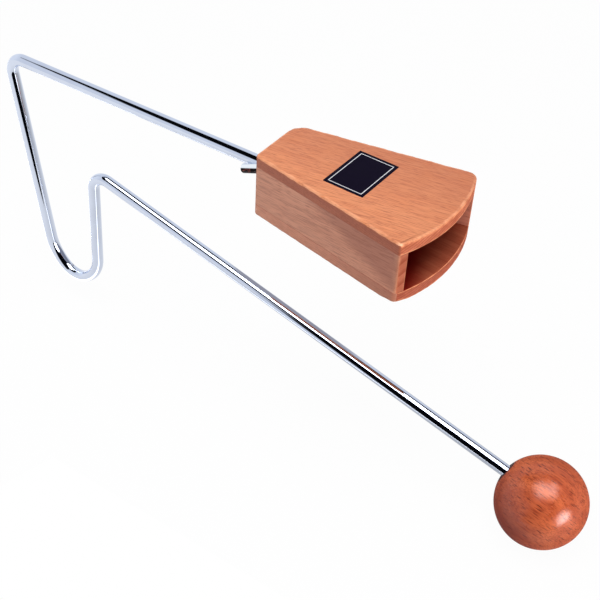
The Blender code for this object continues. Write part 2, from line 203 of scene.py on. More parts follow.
def makeEdgeRubAndPaintedLight():
    # handled edges, where the stain has thinned or dirt has settled in patches; the same mask carries
    # painted highlights along rounded rims and a painted shadow ring round the ball's hole
    tree, entry, leave = startGroup("edgeRubAndPaintedLight", [
        ("Vector", "Vector", None), ("Rim", "Float", 0.0), ("Amount", "Float", 0.5),
    ], [("Mask", "Float")])
    patches = noise(tree, entry["Vector"], rubAndPaintedLightPlan["grain"], detail=4.0, rough=0.6)
    patches = spread(tree, patches, *rubAndPaintedLightPlan["run"])
    # a rim past 1 is marked all over as well, as wear and painted highlight
    past = sums(tree, "MAXIMUM", sums(tree, "SUBTRACT", entry["Rim"], 1.0), 0.0)
    bare = sums(tree, "MULTIPLY", past, rubAndPaintedLightPlan["bare"])
    mask = sums(tree, "MULTIPLY_ADD", patches, entry["Rim"], bare)
    tree.links.new(sums(tree, "MULTIPLY", mask, entry["Amount"]), leave["Mask"])
    return tree


def makeSoftMottle():
    # slow change from one value to another, for handling marks in a finish
    tree, entry, leave = startGroup("softMottle", [
        ("Vector", "Vector", None), ("Patch", "Float", 0.1), ("Low", "Float", 0.2),
        ("High", "Float", 0.4),
    ], [("Value", "Float")])
    where = put(tree, "VectorMath", {0: entry["Vector"], "Scale": entry["Patch"]},
                operation="SCALE").outputs[0]
    cloud = noise(tree, where, mottlePlan["grain"], detail=4.0, rough=0.6)
    node = put(tree, "MapRange", {0: cloud, 1: mottlePlan["from"], 2: mottlePlan["to"],
                                  3: entry["Low"], 4: entry["High"]})
    tree.links.new(node.outputs[0], leave["Value"])
    return tree


def makeToolLines():
    # fine lines as rolling leaves them in metal, or an even grain where the stretch is even
    tree, entry, leave = startGroup("toolLines", [
        ("Vector", "Vector", None), ("Stretch", "Vector", (0.05, 6.0, 6.0)),
    ], [("Height", "Float")])
    lines = noise(tree, entry["Vector"], entry["Stretch"], detail=3.0, rough=0.6)
    tree.links.new(lines, leave["Height"])
    return tree


beechFigure = makeBeechFigure()
rayFlecks = makeRayFlecks()
edgeRubAndPaintedLight = makeEdgeRubAndPaintedLight()
softMottle = makeSoftMottle()
toolLines = makeToolLines()
print("shared effects:", len(bpy.data.node_groups), "node groups")


def mottle(tree, vector, patch, low=0.0, high=1.0):
    return useGroup(tree, softMottle, {"Vector": vector, "Patch": patch, "Low": low,
                                       "High": high})["Value"]


# small helpers for shapes

def stack(rings, loop=False):
    # joins each ring of points to the next; a ring of one point closes the end
    points, faces, starts = [], [], []
    for ring in rings:
        starts.append(len(points))
        points += ring
    pairs = list(zip(range(len(rings) - 1), range(1, len(rings))))
    if loop:
        pairs.append((len(rings) - 1, 0))
    for a, b in pairs:
        countA, countB = len(rings[a]), len(rings[b])
        count = max(countA, countB)
        for i in range(count):
            j = (i + 1) % count
            corners = [starts[a] + i % countA, starts[a] + j % countA,
                       starts[b] + j % countB, starts[b] + i % countB]
            faces.append(list(dict.fromkeys(corners)))
    if not loop:
        for ring, start in ((rings[0], starts[0]), (rings[-1], starts[-1])):
            if len(ring) > 1:
                faces.append(list(range(start, start + len(ring))))
    return points, faces


def turned(profile, origin, axis, sides=48):
    # a profile of (radius, distance along the axis) turned about that axis
    axis = Vector(axis).normalized()
    across = axis.orthogonal().normalized()
    third = axis.cross(across)
    rings = []
    for radius, along in profile:
        middle = Vector(origin) + axis * along
        if radius == 0:
            rings.append([middle])
            continue
        spokes = [wholeTurn * i / sides for i in range(sides)]
        rings.append([middle + (across * cos(t) + third * sin(t)) * radius for t in spokes])
    return rings


def drill(radius, start, axis, near, far, sides=48):
    # a round cutter, from one distance along its axis to another
    return stack(turned([(radius, near), (radius, far)], start, axis, sides))


def quarter(steps):
    # cosine and sine in even steps through a quarter turn
    return [(cos(pi / 2 * i / steps), sin(pi / 2 * i / steps)) for i in range(steps + 1)]


def setDown(name, data):
    thing = bpy.data.objects.new(name, data)
    bpy.context.scene.collection.objects.link(thing)
    return thing


def makeMesh(name, shape):
    points, faces = shape
    mesh = bpy.data.meshes.new(name)
    mesh.from_pydata([Vector(point) * scale for point in points], [], faces)
    tidy = bmesh.new()
    tidy.from_mesh(mesh)
    bmesh.ops.recalc_face_normals(tidy, faces=tidy.faces)
    tidy.to_mesh(mesh)
    tidy.free()
    return mesh


def shadeMesh(mesh, crease):
    mesh.shade_smooth()
    mesh.set_sharp_from_angle(angle=radians(crease))
    for face in mesh.polygons:
        if len(face.vertices) > 4:  # flat ends stay flat
            face.use_smooth = False


def makePiece(name, shape, materials, replaced, body="instrument", rim=None,
              cutters=(), easeEdges=0.0, crease=38, pickFinish=None):
    piece = setDown(name, makeMesh(name, shape))
    if cutters:
        carve(piece, cutters)
    if easeEdges:
        breakEdges(piece.data, easeEdges)
    if rim:
        layer = piece.data.attributes.new("rim", "FLOAT", "POINT")
        layer.data.foreach_set("value", rim)
    shadeMesh(piece.data, crease)
    piece.data.materials.clear()
    for material in materials:
        piece.data.materials.append(material)
    if pickFinish:  # some faces show end grain, an edge or the unpolished inside
        for face in piece.data.polygons:
            face.material_index = pickFinish(face.normal, face.center / scale)
    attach(piece, body)
    if replaced:
        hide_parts(replaced)
    return piece


def carve(piece, cutters):
    for shape in cutters:
        cutter = setDown("cutter", makeMesh("cutter", shape))
        cutting = piece.modifiers.new("carve", "BOOLEAN")
        cutting.operation = "DIFFERENCE"
        cutting.solver = "EXACT"
        cutting.object = cutter
        view = bpy.context.evaluated_depsgraph_get()
        result = bpy.data.meshes.new_from_object(piece.evaluated_get(view))
        piece.modifiers.clear()
        oldMesh = piece.data
        piece.data = result
        bpy.data.meshes.remove(oldMesh)
        bpy.data.objects.remove(cutter, do_unlink=True)


edgeWork = {"flatWithin": 0.5, "hardFrom": 50, "segments": 2}  # angles in degrees


def breakEdges(mesh, width):
    # takes the sharpness off every hard edge
    work = bmesh.new()
    work.from_mesh(mesh)
    bmesh.ops.dissolve_limit(work, angle_limit=radians(edgeWork["flatWithin"]), verts=work.verts,
                             edges=work.edges)
    hard = [edge for edge in work.edges if len(edge.link_faces) == 2
            and edge.calc_face_angle() > radians(edgeWork["hardFrom"])]
    bmesh.ops.bevel(work, geom=hard, offset=width * scale, segments=edgeWork["segments"],
                    profile=0.5, affect="EDGES", clamp_overlap=True)
    work.to_mesh(mesh)
    work.free()


def bendCorner(start, corner, end, steps):
    # a soft corner from start to end, pulled towards the sharp one
    path = []
    for i in range(steps + 1):
        t = i / steps
        path.append(tuple((1 - t) ** 2 * a + 2 * t * (1 - t) * b + t * t * c
                          for a, b, c in zip(start, corner, end)))
    return path


def shrink(outline, by):
    # moves a closed outline, drawn anticlockwise, inwards, by one amount or one for each point
    amounts = by if isinstance(by, list) else [by] * len(outline)
    moved = []
    for i, here in enumerate(outline):
        before, after = outline[i - 1], outline[(i + 1) % len(outline)]
        first = Vector((here[0] - before[0], here[1] - before[1])).normalized()
        second = Vector((after[0] - here[0], after[1] - here[1])).normalized()
        normals = Vector((-first.y, first.x)), Vector((-second.y, second.x))
        shift = (normals[0] + normals[1]) / (1 + normals[0].dot(normals[1])) * amounts[i]
        moved.append((here[0] + shift.x, here[1] + shift.y) + tuple(here[2:]))
    return moved


# wooden pieces

def makeWood(name, look):
    material, tree, shader = startMaterial(name, {
        "IOR": 1.5, "Specular IOR Level": look["polish"]})
    grain = partCoords(tree, look["turn"], look["shift"])
    figure = useGroup(tree, beechFigure, {
        "Vector": grain, "Pith": look["pith"], "Ring Width": look["ringWidth"],
        "Ring Warp": look["ringWarp"], "Ring Strength": look["rings"],
        "Streak Strength": look["streaks"], "Fibre Strength": look["fibres"],
        "Pale": look["pale"], "Middle": look["middle"], "Dark": look["dark"]})
    rayWay = put(tree, "VectorRotate", {"Vector": grain, "Angle": radians(look["rayTurn"])},
                 rotation_type="X_AXIS").outputs[0]
    flecks = useGroup(tree, rayFlecks, {"Vector": rayWay, "Cell": look["fleckCell"],
                                        "Share": look["fleckShare"], "Core": look["fleckSpan"][0],
                                        "Edge": look["fleckSpan"][1]})["Mask"]
    fleckShade = sums(tree, "MULTIPLY", flecks, look["flecks"])
    colour = blendTones(tree, fleckShade, figure["Color"], look["fleckTone"])
    cloud = mottle(tree, grain, look["cloudPatch"], 0.0, look["cloud"])
    colour = blendTones(tree, cloud, colour, look["middle"], "MULTIPLY")
    # painted shade: the colour darkens towards the dark tone along shadeWay
    shade = spread(tree, alongWay(tree, grain, look["shadeWay"]), *look["shadeRun"])
    colour = blendTones(tree, sums(tree, "MULTIPLY", shade, look["shade"]), colour, look["dark"])
    rim = put(tree, "Attribute", attribute_name="rim").outputs["Fac"]
    # rub along marked rims: partly a painted highlight on rounded edges, and on the ball a painted
    # shadow ring
    rubAndPaintedLight = useGroup(tree, edgeRubAndPaintedLight, {"Vector": grain, "Rim": rim, "Amount": look["rubAndPaintedLight"]})["Mask"]
    colour = blendTones(tree, rubAndPaintedLight, colour, look["rubAndPaintedLightTone"])
    gloss = mottle(tree, grain, look["glossPatch"], *look["roughness"])
    # satin at glancing angles, or a low lamp eats into the outline
    glance = put(tree, "LayerWeight", {"Blend": 0.5}).outputs["Facing"]
    gloss = put(tree, "Mix", {0: spread(tree, glance, *look["glanceSpan"]), 2: gloss,
                              3: look["glanceRoughness"]}).outputs[0]
    relief = sums(tree, "MULTIPLY_ADD", flecks, look["fleckSink"], figure["Height"])
    dress(tree, shader, colour, gloss, relief, look["bump"], look["bumpDepth"])
    return material


# the pale rub tone marks rubbed rims together with a painted highlight along them
boxLook = {
    "turn": (0, 0, 0), "shift": (0, 0, 0), "pith": (0, 8, -75), "ringWidth": 3.4,
    "ringWarp": 6.0, "rings": 0.10, "streaks": 0.6, "fibres": 0.62,
    "pale": tone(218, 132, 88), "middle": tone(203, 114, 72), "dark": tone(154, 70, 41),
    "fleckCell": (6.0, 0.55, 0.55), "fleckShare": 0.85, "flecks": 0.85,
    "fleckTone": tone(146, 66, 38), "cloud": 0.10, "rubAndPaintedLight": 0.5, "rubAndPaintedLightTone": tone(247, 182, 142),
    "fleckSpan": (0.12, 0.33), "rayTurn": 0.0,
    "shade": 0.0, "shadeWay": (1, 0, 0), "shadeRun": (0.0, 50.0),
    "roughness": (0.30, 0.42), "polish": 0.5, "bump": 0.25,
    "glanceSpan": (0.5, 0.72), "glanceRoughness": 0.85,
    "cloudPatch": 0.035, "glossPatch": 0.12, "fleckSink": -0.8, "bumpDepth": 0.00006,
}
# end grain; its pale rub tone is a painted highlight line along the mouth's edges as well as rub
endGrain = {"rings": 0.5, "ringWidth": 1.5, "ringWarp": 3.0, "fibres": 0.35, "streaks": 0.9,
            "flecks": 0.35, "rubAndPaintedLight": 0.8, "rubAndPaintedLightTone": tone(240, 160, 114),
            "roughness": (0.5, 0.65), "polish": 0.12,
            "pale": tone(222, 132, 96), "middle": tone(198, 108, 76), "dark": tone(150, 68, 46)}
sawnEdge = {"rings": 0.2, "ringWidth": 1.2, "fibres": 0.4, "flecks": 0.3, "streaks": 0.5,
            "polish": 0.3, "rubAndPaintedLight": 0.0, "pale": tone(192, 111, 82), "middle": tone(173, 94, 69),
            "dark": tone(138, 70, 49)}
# the unpolished inside; its dark tone also serves the painted shade deep in the box
rawInside = {"polish": 0.1, "roughness": (0.55, 0.7), "rubAndPaintedLight": 0.0, "rings": 0.08, "streaks": 0.5,
             "fibres": 0.3, "pale": tone(180, 97, 69), "middle": tone(155, 70, 47),
             "dark": tone(114, 9, 5)}
wallFlare = 11.16  # how far each wall splays, in degrees
faceFinish, endFinish, edgeFinish, insideFinish = range(4)


def makeWoodSet(name, look, **changes):
    # polished faces, end grain, sawn edges and the raw inside of one board, in that order
    finishes = (("Face", {}), ("End", endGrain), ("Edge", sawnEdge), ("Inside", rawInside))
    return [makeWood(name + title, {**look, **finish, **changes.get(title.lower(), {})})
            for title, finish in finishes]


# painted shade and sheen: the top board darkens from its lit near side towards its far side
topWood = makeWoodSet("topBoard", {**boxLook, "turn": (0, 0, -10), "pale": tone(224, 145, 98),
                                   "middle": tone(210, 126, 81), "shade": 0.36,
                                   "shadeWay": (0.17, 0.98, 0), "shadeRun": (-26.0, 30.0)},
                      end={"shade": 0.0}, edge={"shade": 0.0}, inside={"shade": 0.0})
# painted shade: the inside floor darkens deep in the box, and the near edge strip darkens towards the
# mouth; the edge's darker rub tone darkens its rounded rims
bottomWood = makeWoodSet("bottomBoard", {**boxLook, "turn": (0, 0, 4), "shift": (31, 17, 5),
                                         "pith": (0, -20, 60)},
                         end={"pale": tone(194, 107, 80), "middle": tone(175, 91, 67),
                              "dark": tone(132, 56, 39)},
                         inside={"shade": 1.0, "shadeWay": (0.9, 0.43, 0), "shadeRun": (78.5, 65.5)},
                         edge={"pale": tone(230, 160, 130), "middle": tone(216, 143, 114),
                               "dark": tone(160, 92, 70), "rubAndPaintedLight": 0.8, "rubAndPaintedLightTone": tone(190, 110, 84),
                               "shade": 0.5, "shadeRun": (20.0, 80.0)})
wallLook = {**boxLook, "rings": 0.10, "streaks": 0.5, "flecks": 0.6, "ringWidth": 5.2,
            "ringWarp": 4.0, "fibres": 0.55, "fleckCell": (6.0, 0.62, 0.62),
            "pale": tone(228, 158, 126), "middle": tone(212, 140, 108), "dark": tone(150, 80, 58)}
# painted shadow: the near face darkens towards its upper corner at the mouth, the end is shaded along
# the wall, and the inside darkens deep in the box
nearWood = makeWoodSet("nearWall", {**wallLook, "turn": (0, 6, wallFlare), "pith": (0, -62, 92),
                                    "shade": 0.52, "shadeWay": (1.27, 0, 2.58),
                                    "shadeRun": (60.0, 82.0), "rubAndPaintedLight": 0.25},
                       end={"ringWidth": 5.4, "rings": 0.7, "pale": tone(242, 158, 120),
                            "middle": tone(222, 134, 98), "rubAndPaintedLight": 0.3, "shade": 0.62,
                            "shadeWay": (1, 0, 0), "shadeRun": (-10.0, 52.0)},
                       inside={"shade": 0.85, "shadeWay": (1, 0, 0), "shadeRun": (45.0, 5.0)})
# painted shade: the far wall's inside darkens deep in the box
farWood = makeWoodSet("farWall", {**wallLook, "turn": (0, 0, -wallFlare), "shift": (47, 0, -8),
                                  "pith": (0, 70, -60)}, end={"ringWidth": 4.6},
                      inside={"pale": tone(222, 144, 119), "middle": tone(209, 126, 100),
                              "shade": 0.8, "shadeRun": (88.0, 60.0)})
blockWood = makeWood("endBlockBeech", {**boxLook, **endGrain, "turn": (0, 0, 90),
                                       "shift": (5, 61, 3), "pith": (0, 30, -40)})
print("box woods made")

boxPlan = {
    "narrowEnd": -45.0, "length": 89.0, "bulge": 7.9, "narrowWidth": 34.2, "mouthWidth": 69.3,
    "height": 33.3, "board": 6.0, "wall": 5.0, "roundSteps": 7, "innerEase": 0.3,
    "hairline": 0.02, "labelRoom": 0.1, "blockLength": 18.0,
    "sideSteps": 44, "mouthSteps": 26, "cornerSteps": 9, "innerSteps": 3, "wallSteps": 5,
    "topRound": (1.1, 0.9), "bottomRound": (0.5, 0.5),  # sides, then mouth
    "dents": 0.35, "dentWaves": ((0.43, 0), (1.13, 1), (2.71, 2)), "innerFlat": 1.2, "outerFlat": 0.5,
    "innerRubAndHighlight": 1.5, "footRound": 1.5, "footReach": 9.0, "rubAndHighlightReach": 0.6, "worn": 4.0, "wornReach": 3.0,
    "wallEdge": 0.05, "wallRound": 0.45, "wallRubAndHighlight": 2.0, "wallTip": 0.05, "pastRound": 1.5,
    "leastTurn": 0.002,
    "endFacing": 0.74, "sideFacing": 0.3, "innerFacing": -0.5,  # which faces show another finish
}
# the corners were sanded by hand, so the near and far ones differ
cornerPlan = {-1: {"narrow": 2.6, "mouth": 1.1, "foot": 2.6, "bulge": 7.9},
              1: {"narrow": 8.5, "mouth": 4.4, "foot": 4.4, "bulge": 7.1}}
slope = (boxPlan["mouthWidth"] - boxPlan["narrowWidth"]) / 2 / boxPlan["length"]
flare = atan(slope)
mouthTip = boxPlan["length"] + boxPlan["bulge"]
rodHeight = boxPlan["height"] / 2


def fromEnd(x):
    return boxPlan["narrowEnd"] + x


def sideAt(x, sideIn):
    return boxPlan["narrowWidth"] / 2 - sideIn / cos(flare) + slope * x


def mouthCircle(side):
    bulge = cornerPlan[side]["bulge"]
    radius = (boxPlan["mouthWidth"] ** 2 / 4 + bulge ** 2) / (2 * bulge)
    return mouthTip - radius, radius


def meetMouth(side, sideIn):
    middle, radius = mouthCircle(side)
    start = sideAt(0, sideIn)
    a = 1 + slope ** 2
    b = 2 * (slope * start - middle)
    c = middle ** 2 + start ** 2 - radius ** 2
    x = (-b + sqrt(b * b - 4 * a * c)) / (2 * a)
    return x, sideAt(x, sideIn)


def onMouth(side, angle):
    middle, radius = mouthCircle(side)
    return middle + radius * cos(angle), radius * sin(angle)


def narrowArc(side):
    # the box's rounded corner at the narrow end, from the end to the side
    radius, steps = cornerPlan[side]["narrow"], boxPlan["cornerSteps"]
    half = (pi / 2 + flare) / 2
    centre = (radius, sideAt(0, 0) - radius / tan(half))
    sweep = pi - 2 * half
    angles = [sweep * i / steps for i in range(steps + 1)]
    return [(centre[0] - radius * cos(t), centre[1] + radius * sin(t)) for t in angles]


def mouthBend(side, corner="mouth"):
    meeting = meetMouth(side, 0)
    ease = cornerPlan[side][corner]
    middle, radius = mouthCircle(side)
    start = (meeting[0] - ease * cos(flare), meeting[1] - ease * sin(flare))
    turn = atan2(meeting[1], meeting[0] - middle) - ease / radius
    return bendCorner(start, meeting, onMouth(side, turn), boxPlan["cornerSteps"]), turn


def boxOutline(corner):
    # the box's plan, anticlockwise, each point with the share it has in the mouth
    halves = {}
    for side in (-1, 1):
        half = [(x, y, 0.0) for x, y in narrowArc(side)]
        bend, turn = mouthBend(side, corner)
        steps = boxPlan["sideSteps"]
        first, last = half[-1], bend[0]
        half += [(first[0] + (last[0] - first[0]) * i / steps,
                  first[1] + (last[1] - first[1]) * i / steps, 0.0) for i in range(1, steps)]
        half += [(x, y, i / (len(bend) - 1)) for i, (x, y) in enumerate(bend)]
        steps = boxPlan["mouthSteps"]
        half += [(*onMouth(side, turn * (1 - i / steps)), 1.0) for i in range(1, steps)]
        halves[side] = half
    ring = [(x, -y, w) for x, y, w in halves[-1]]
    return ring + [(mouthTip, 0.0, 1.0)] + halves[1][::-1]


def atHeights(outline, insets, heights):
    return [(fromEnd(x), y, z) for (x, y, _), z in zip(shrink(outline, insets), heights)]


def atMouth(normal, centre):
    return normal.x > boxPlan["endFacing"] and centre.x > fromEnd(boxPlan["length"] / 2)


def boardFinish(up):
    def pick(normal, centre):
        if normal.z * up < boxPlan["innerFacing"]:
            return insideFinish
        if atMouth(normal, centre):
            return endFinish
        return edgeFinish if abs(normal.z) < boxPlan["sideFacing"] else faceFinish
    return pick


def handWorn(along):
    # uneven sanding along an edge, between -1 and 1
    waves = [sin(along * pace + start) for pace, start in boxPlan["dentWaves"]]
    return sum(waves) / len(waves)


def makeBoard(name, node, materials, outer, inner, rounds, corner):
    # outer and inner are the heights of its faces; the outer rim is rounded
    up = 1 if outer > inner else -1
    outline = boxOutline(corner)
    foot = meetMouth(-1, 0)
    edges, eases, worn = [], [], []
    for x, y, w in outline:
        edge = rounds[0] + (rounds[1] - rounds[0]) * w
        edge *= 1 + boxPlan["dents"] * handWorn(x + y)
        away = sqrt((x - foot[0]) ** 2 + (y + foot[1]) ** 2)
        wearAndHighlight = 1
        if corner == "foot":  # the near corner under the mouth is knocked round
            edge += boxPlan["footRound"] * max(0, 1 - (away / boxPlan["footReach"]) ** 2) ** 2
        else:  # and the one above it is worn pale, with a painted highlight on it
            wearAndHighlight += boxPlan["worn"] * max(0, 1 - (away / boxPlan["wornReach"]) ** 2)
        worn.append(wearAndHighlight)
        edges.append(edge)
        eases.append(boxPlan["hairline"] * 2 * (1 - w) + boxPlan["innerEase"] * w)
    count = len(outline)
    rings = [(atHeights(outline, [boxPlan["innerFlat"]] * count, [inner] * count), 0.0)]
    # the inner eased edge gets a whitish painted highlight line as well as rub
    for across, rise in quarter(boxPlan["innerSteps"]):
        rings.append((atHeights(outline, [ease * (1 - rise) for ease in eases],
                                [inner + up * ease * (1 - across) for ease in eases]),
                      boxPlan["innerRubAndHighlight"]))
    plain = [0.0] * count
    past = boxPlan["rubAndHighlightReach"]
    rings.append((atHeights(outline, plain, [inner + up * (ease + past) for ease in eases]), 0.0))
    rings.append((atHeights(outline, plain, [outer - up * (edge + past) for edge in edges]), 0.0))
    # the rounded outer rim is marked for rub and a painted highlight
    for across, rise in quarter(boxPlan["roundSteps"]):
        rings.append((atHeights(outline, [edge * (1 - across) for edge in edges],
                                [outer - up * edge * (1 - rise) for edge in edges]), 1.0))
    rings.append((atHeights(outline, [edge + boxPlan["outerFlat"] for edge in edges],
                            [outer] * count), 0.0))
    rim = [value * share for _, value in rings for share in worn]
    return makePiece(name, stack([ring for ring, _ in rings]), materials, node, rim=rim,
                     pickFinish=boardFinish(up))


def wallOutline(side):
    # a wall's plan as on the far side, anticlockwise, with a mark on the edges that get rubbed and a
    # painted highlight
    middle, radius = mouthCircle(side)
    bend, turn = mouthBend(side)
    innerX, innerY = meetMouth(side, boxPlan["wall"])
    innerTurn = atan2(innerY, innerX - middle)
    ease, steps = boxPlan["wallRound"], boxPlan["wallSteps"]

    def before(spot, distance, mark):
        return spot[0] - distance * cos(flare), spot[1] - distance * sin(flare), mark

    innerStart = onMouth(side, innerTurn + ease / radius)
    innerEnd = before((innerX, innerY), ease, 1.0)[:2]
    back = [spot for spot in narrowArc(side)
            if spot[1] > sideAt(spot[0], boxPlan["wall"]) + boxPlan["wallTip"]]
    outline = [(back[0][0], sideAt(back[0][0], boxPlan["wall"]), 0.0),
               before(innerEnd, boxPlan["wallRubAndHighlight"], 0.0)]
    outline += [(*spot, 1.0) for spot in bendCorner(innerEnd, (innerX, innerY), innerStart, steps)]
    first = innerTurn + boxPlan["pastRound"] * ease / radius
    last = turn - boxPlan["leastTurn"]
    if last - first > boxPlan["leastTurn"]:  # a flat stretch is left between the two rounded edges
        outline += [(*onMouth(side, first + (last - first) * i / steps), 0.0)
                    for i in range(steps + 1)]
    outline += [(*spot, 1.0) for spot in bend[::-1]]
    outline.append(before(bend[0], boxPlan["wallRubAndHighlight"], 0.0))
    outline += [(*spot, 0.0) for spot in back[::-1]]
    return outline


def wallFinish(side):
    def pick(normal, centre):
        if atMouth(normal, centre):
            return endFinish
        return insideFinish if normal.y * side < boxPlan["innerFacing"] else faceFinish
    return pick


def betweenBoards():
    gap = boxPlan["board"] + boxPlan["hairline"]
    return gap, boxPlan["height"] - boxPlan["board"] - boxPlan["hairline"]


def makeWall(name, node, materials, side):
    low, high = betweenBoards()
    ease = boxPlan["wallEdge"]
    outline = wallOutline(side)
    rings, rim = [], []
    for inset, z in ((ease, low), (0, low + ease), (0, high - ease), (ease, high)):
        loop = shrink(outline, inset) if inset else outline
        rings.append([(fromEnd(x), y * side, z) for x, y, _ in loop])
        rim += [mark for _, _, mark in loop]
    return makePiece(name, stack(rings), materials, node, rim=rim,
                     pickFinish=wallFinish(side))


def makeBox():
    board, height = boxPlan["board"], boxPlan["height"]
    makeBoard("topBoard", "top_board", topWood, height - boxPlan["labelRoom"], height - board,
              boxPlan["topRound"], "mouth")
    makeBoard("bottomBoard", "bottom_board", bottomWood, 0.0, board, boxPlan["bottomRound"], "foot")
    makeWall("nearWall", "near_wall", nearWood, -1)
    makeWall("farWall", "far_wall", farWood, 1)
    print("box: two boards and two walls")


makeBox()

# label on the top board

labelPlan = {"middle": (2.1, 0.9), "along": 21.6, "across": 31.5, "turn": -1.2, "corner": 0.4,
             "cornerSteps": 4, "thickness": 0.09, "edge": 0.03, "lineIn": 1.9, "lineWidth": 0.36,
             "lineBlur": 0.05, "linePatch": 0.8, "lineCover": (0.82, 1.0), "glossPatch": 0.15,
             "roughness": (0.32, 0.46), "weave": (1.5, 1.5, 1.5), "bump": 0.06, "bumpDepth": 0.00005,
             "ink": tone(13, 8, 25), "line": tone(236, 236, 240)}


def makeLabelVinyl():
    material, tree, shader = startMaterial("labelVinyl", {"IOR": 1.45, "Specular IOR Level": 0.02})
    flat = partCoords(tree)
    middle = vectors(tree, "SUBTRACT", flat, (*labelPlan["middle"], 0))
    square = put(tree, "VectorRotate", {"Vector": middle, "Angle": -radians(labelPlan["turn"])},
                 rotation_type="Z_AXIS").outputs[0]
    axes = put(tree, "SeparateXYZ", {0: square}).outputs
    fromEdges = [sums(tree, "SUBTRACT", labelPlan[side] / 2, sums(tree, "ABSOLUTE", axes[axis]))
                 for axis, side in enumerate(("along", "across"))]
    nearest = sums(tree, "MINIMUM", *fromEdges)
    offLine = sums(tree, "ABSOLUTE", sums(tree, "SUBTRACT", nearest, labelPlan["lineIn"]))
    half, blur = labelPlan["lineWidth"] / 2, labelPlan["lineBlur"]
    line = spread(tree, offLine, half + blur, half - blur)
    cover = mottle(tree, flat, labelPlan["linePatch"], *labelPlan["lineCover"])
    colour = blendTones(tree, sums(tree, "MULTIPLY", line, cover), labelPlan["ink"], labelPlan["line"])
    gloss = mottle(tree, flat, labelPlan["glossPatch"], *labelPlan["roughness"])
    weave = useGroup(tree, toolLines, {"Vector": flat, "Stretch": labelPlan["weave"]})["Height"]
    dress(tree, shader, colour, gloss, weave, labelPlan["bump"], labelPlan["bumpDepth"])
    return material


def makeLabel():
    halfX, halfY = labelPlan["along"] / 2, labelPlan["across"] / 2
    soft = labelPlan["corner"]
    outline = []
    for sx, sy in ((-1, -1), (1, -1), (1, 1), (-1, 1)):
        corner = (sx * halfX, sy * halfY)
        alongX = (corner[0] - sx * soft, corner[1])
        alongY = (corner[0], corner[1] - sy * soft)
        pair = (alongY, alongX) if sx * sy > 0 else (alongX, alongY)
        outline += bendCorner(pair[0], corner, pair[1], labelPlan["cornerSteps"])
    spin = Matrix.Rotation(radians(labelPlan["turn"]), 2)
    low = boxPlan["height"] - boxPlan["labelRoom"]
    high, edge = low + labelPlan["thickness"], labelPlan["edge"]
    rings = []
    for inset, z in ((0, low), (0, high - edge), (edge, high)):
        loop = [spin @ Vector(spot) for spot in shrink(outline, inset)]
        rings.append([(spot.x + labelPlan["middle"][0], spot.y + labelPlan["middle"][1], z)
                      for spot in loop])
    makePiece("label", stack(rings), [makeLabelVinyl()], None)
    print("label: plain, with a thin border")


makeLabel()

# bent rod

rodBar = {
    "radius": 3.3, "boxArm": 165.7, "drop": 105.2, "rise": 51.7, "ballArm": 286.4,
    "topBend": 9.0, "gripLead": 28.8, "gripLeadTurn": 40.2, "gripBend": 14.3, "gripBendTurn": 75.3,
    "gripTail": 21.65, "armBend": 9.0, "dropLean": 8.7, "riseLean": 1.55,
    "dip": 14.24, "pastBall": 8.0, "threadRadius": 2.5, "threadDepth": 0.42, "threadPitch": 0.8,
    "threadTip": 26.5, "threadChamfer": 0.6, "threadRunOut": 1.2, "threadSteps": 10,
    "ridgeTop": 1.25, "ridgeFall": 2.9, "shoulder": 18.0, "shoulderGap": 0.05, "shoulderBevel": 0.2,
    "endBevel": 0.4, "sides": 48, "bendStep": 3.0,
}
chromeLook = {"tone": tone(212, 220, 236), "clouded": tone(205, 212, 228), "cloudPatch": 0.09,
              "roughness": (0.02, 0.05), "glossPatch": 0.3, "ripple": (0.05, 0.05, 0.05),
              "bump": 0.10, "bumpDepth": 0.0004}


def makeChrome(name, look):
    material, tree, shader = startMaterial(name, {"Metallic": 1.0})
    where = partCoords(tree)
    film = mottle(tree, where, look["cloudPatch"])
    colour = blendTones(tree, film, look["tone"], look["clouded"])
    gloss = mottle(tree, where, look["glossPatch"], *look["roughness"])
    dress(tree, shader, colour, gloss, noise(tree, where, look["ripple"], detail=1.0), look["bump"],
          look["bumpDepth"])
    return material


def rodRoute():
    # stations of (x, z, heading) along the rod's middle, and where the ball sits
    down = -pi / 2 + radians(rodBar["dropLean"])
    up = pi / 2 - radians(rodBar["riseLean"])
    dip = radians(rodBar["dip"])
    leadTurn, gripTurn = radians(rodBar["gripLeadTurn"]), radians(rodBar["gripBendTurn"])
    bends = [(rodBar["threadTip"] + rodBar["boxArm"], pi + down, rodBar["topBend"]),
             (rodBar["drop"], leadTurn, rodBar["gripLead"]),
             (0, gripTurn, rodBar["gripBend"]),
             (0, up - down - leadTurn - gripTurn, rodBar["gripTail"]),
             (rodBar["rise"], -dip - up, rodBar["armBend"])]
    spot = Vector((fromEnd(rodBar["threadTip"]), rodHeight))
    heading = pi
    stations = []
    for run, turn, radius in bends:
        spot = spot + Vector((cos(heading), sin(heading))) * run
        side = 1 if turn > 0 else -1
        centre = spot + Vector((-sin(heading), cos(heading))) * radius * side
        steps = round(abs(turn) / radians(rodBar["bendStep"]))
        for i in range(0 if run else 1, steps + 1):
            angle = heading + turn * i / steps
            spot = centre - Vector((-sin(angle), cos(angle))) * radius * side
            stations.append((spot.x, spot.y, angle))
        heading += turn
    along = Vector((cos(heading), sin(heading)))
    ballSpot = spot + along * rodBar["ballArm"]
    return stations, ballSpot, along, heading


def rodRing(x, z, heading, radiusAt):
    up = (-sin(heading), cos(heading))
    ring = []
    for i in range(rodBar["sides"]):
        angle = wholeTurn * i / rodBar["sides"]
        radius = radiusAt(angle)
        ring.append((x + up[0] * sin(angle) * radius, cos(angle) * radius,
                     z + up[1] * sin(angle) * radius))
    return ring


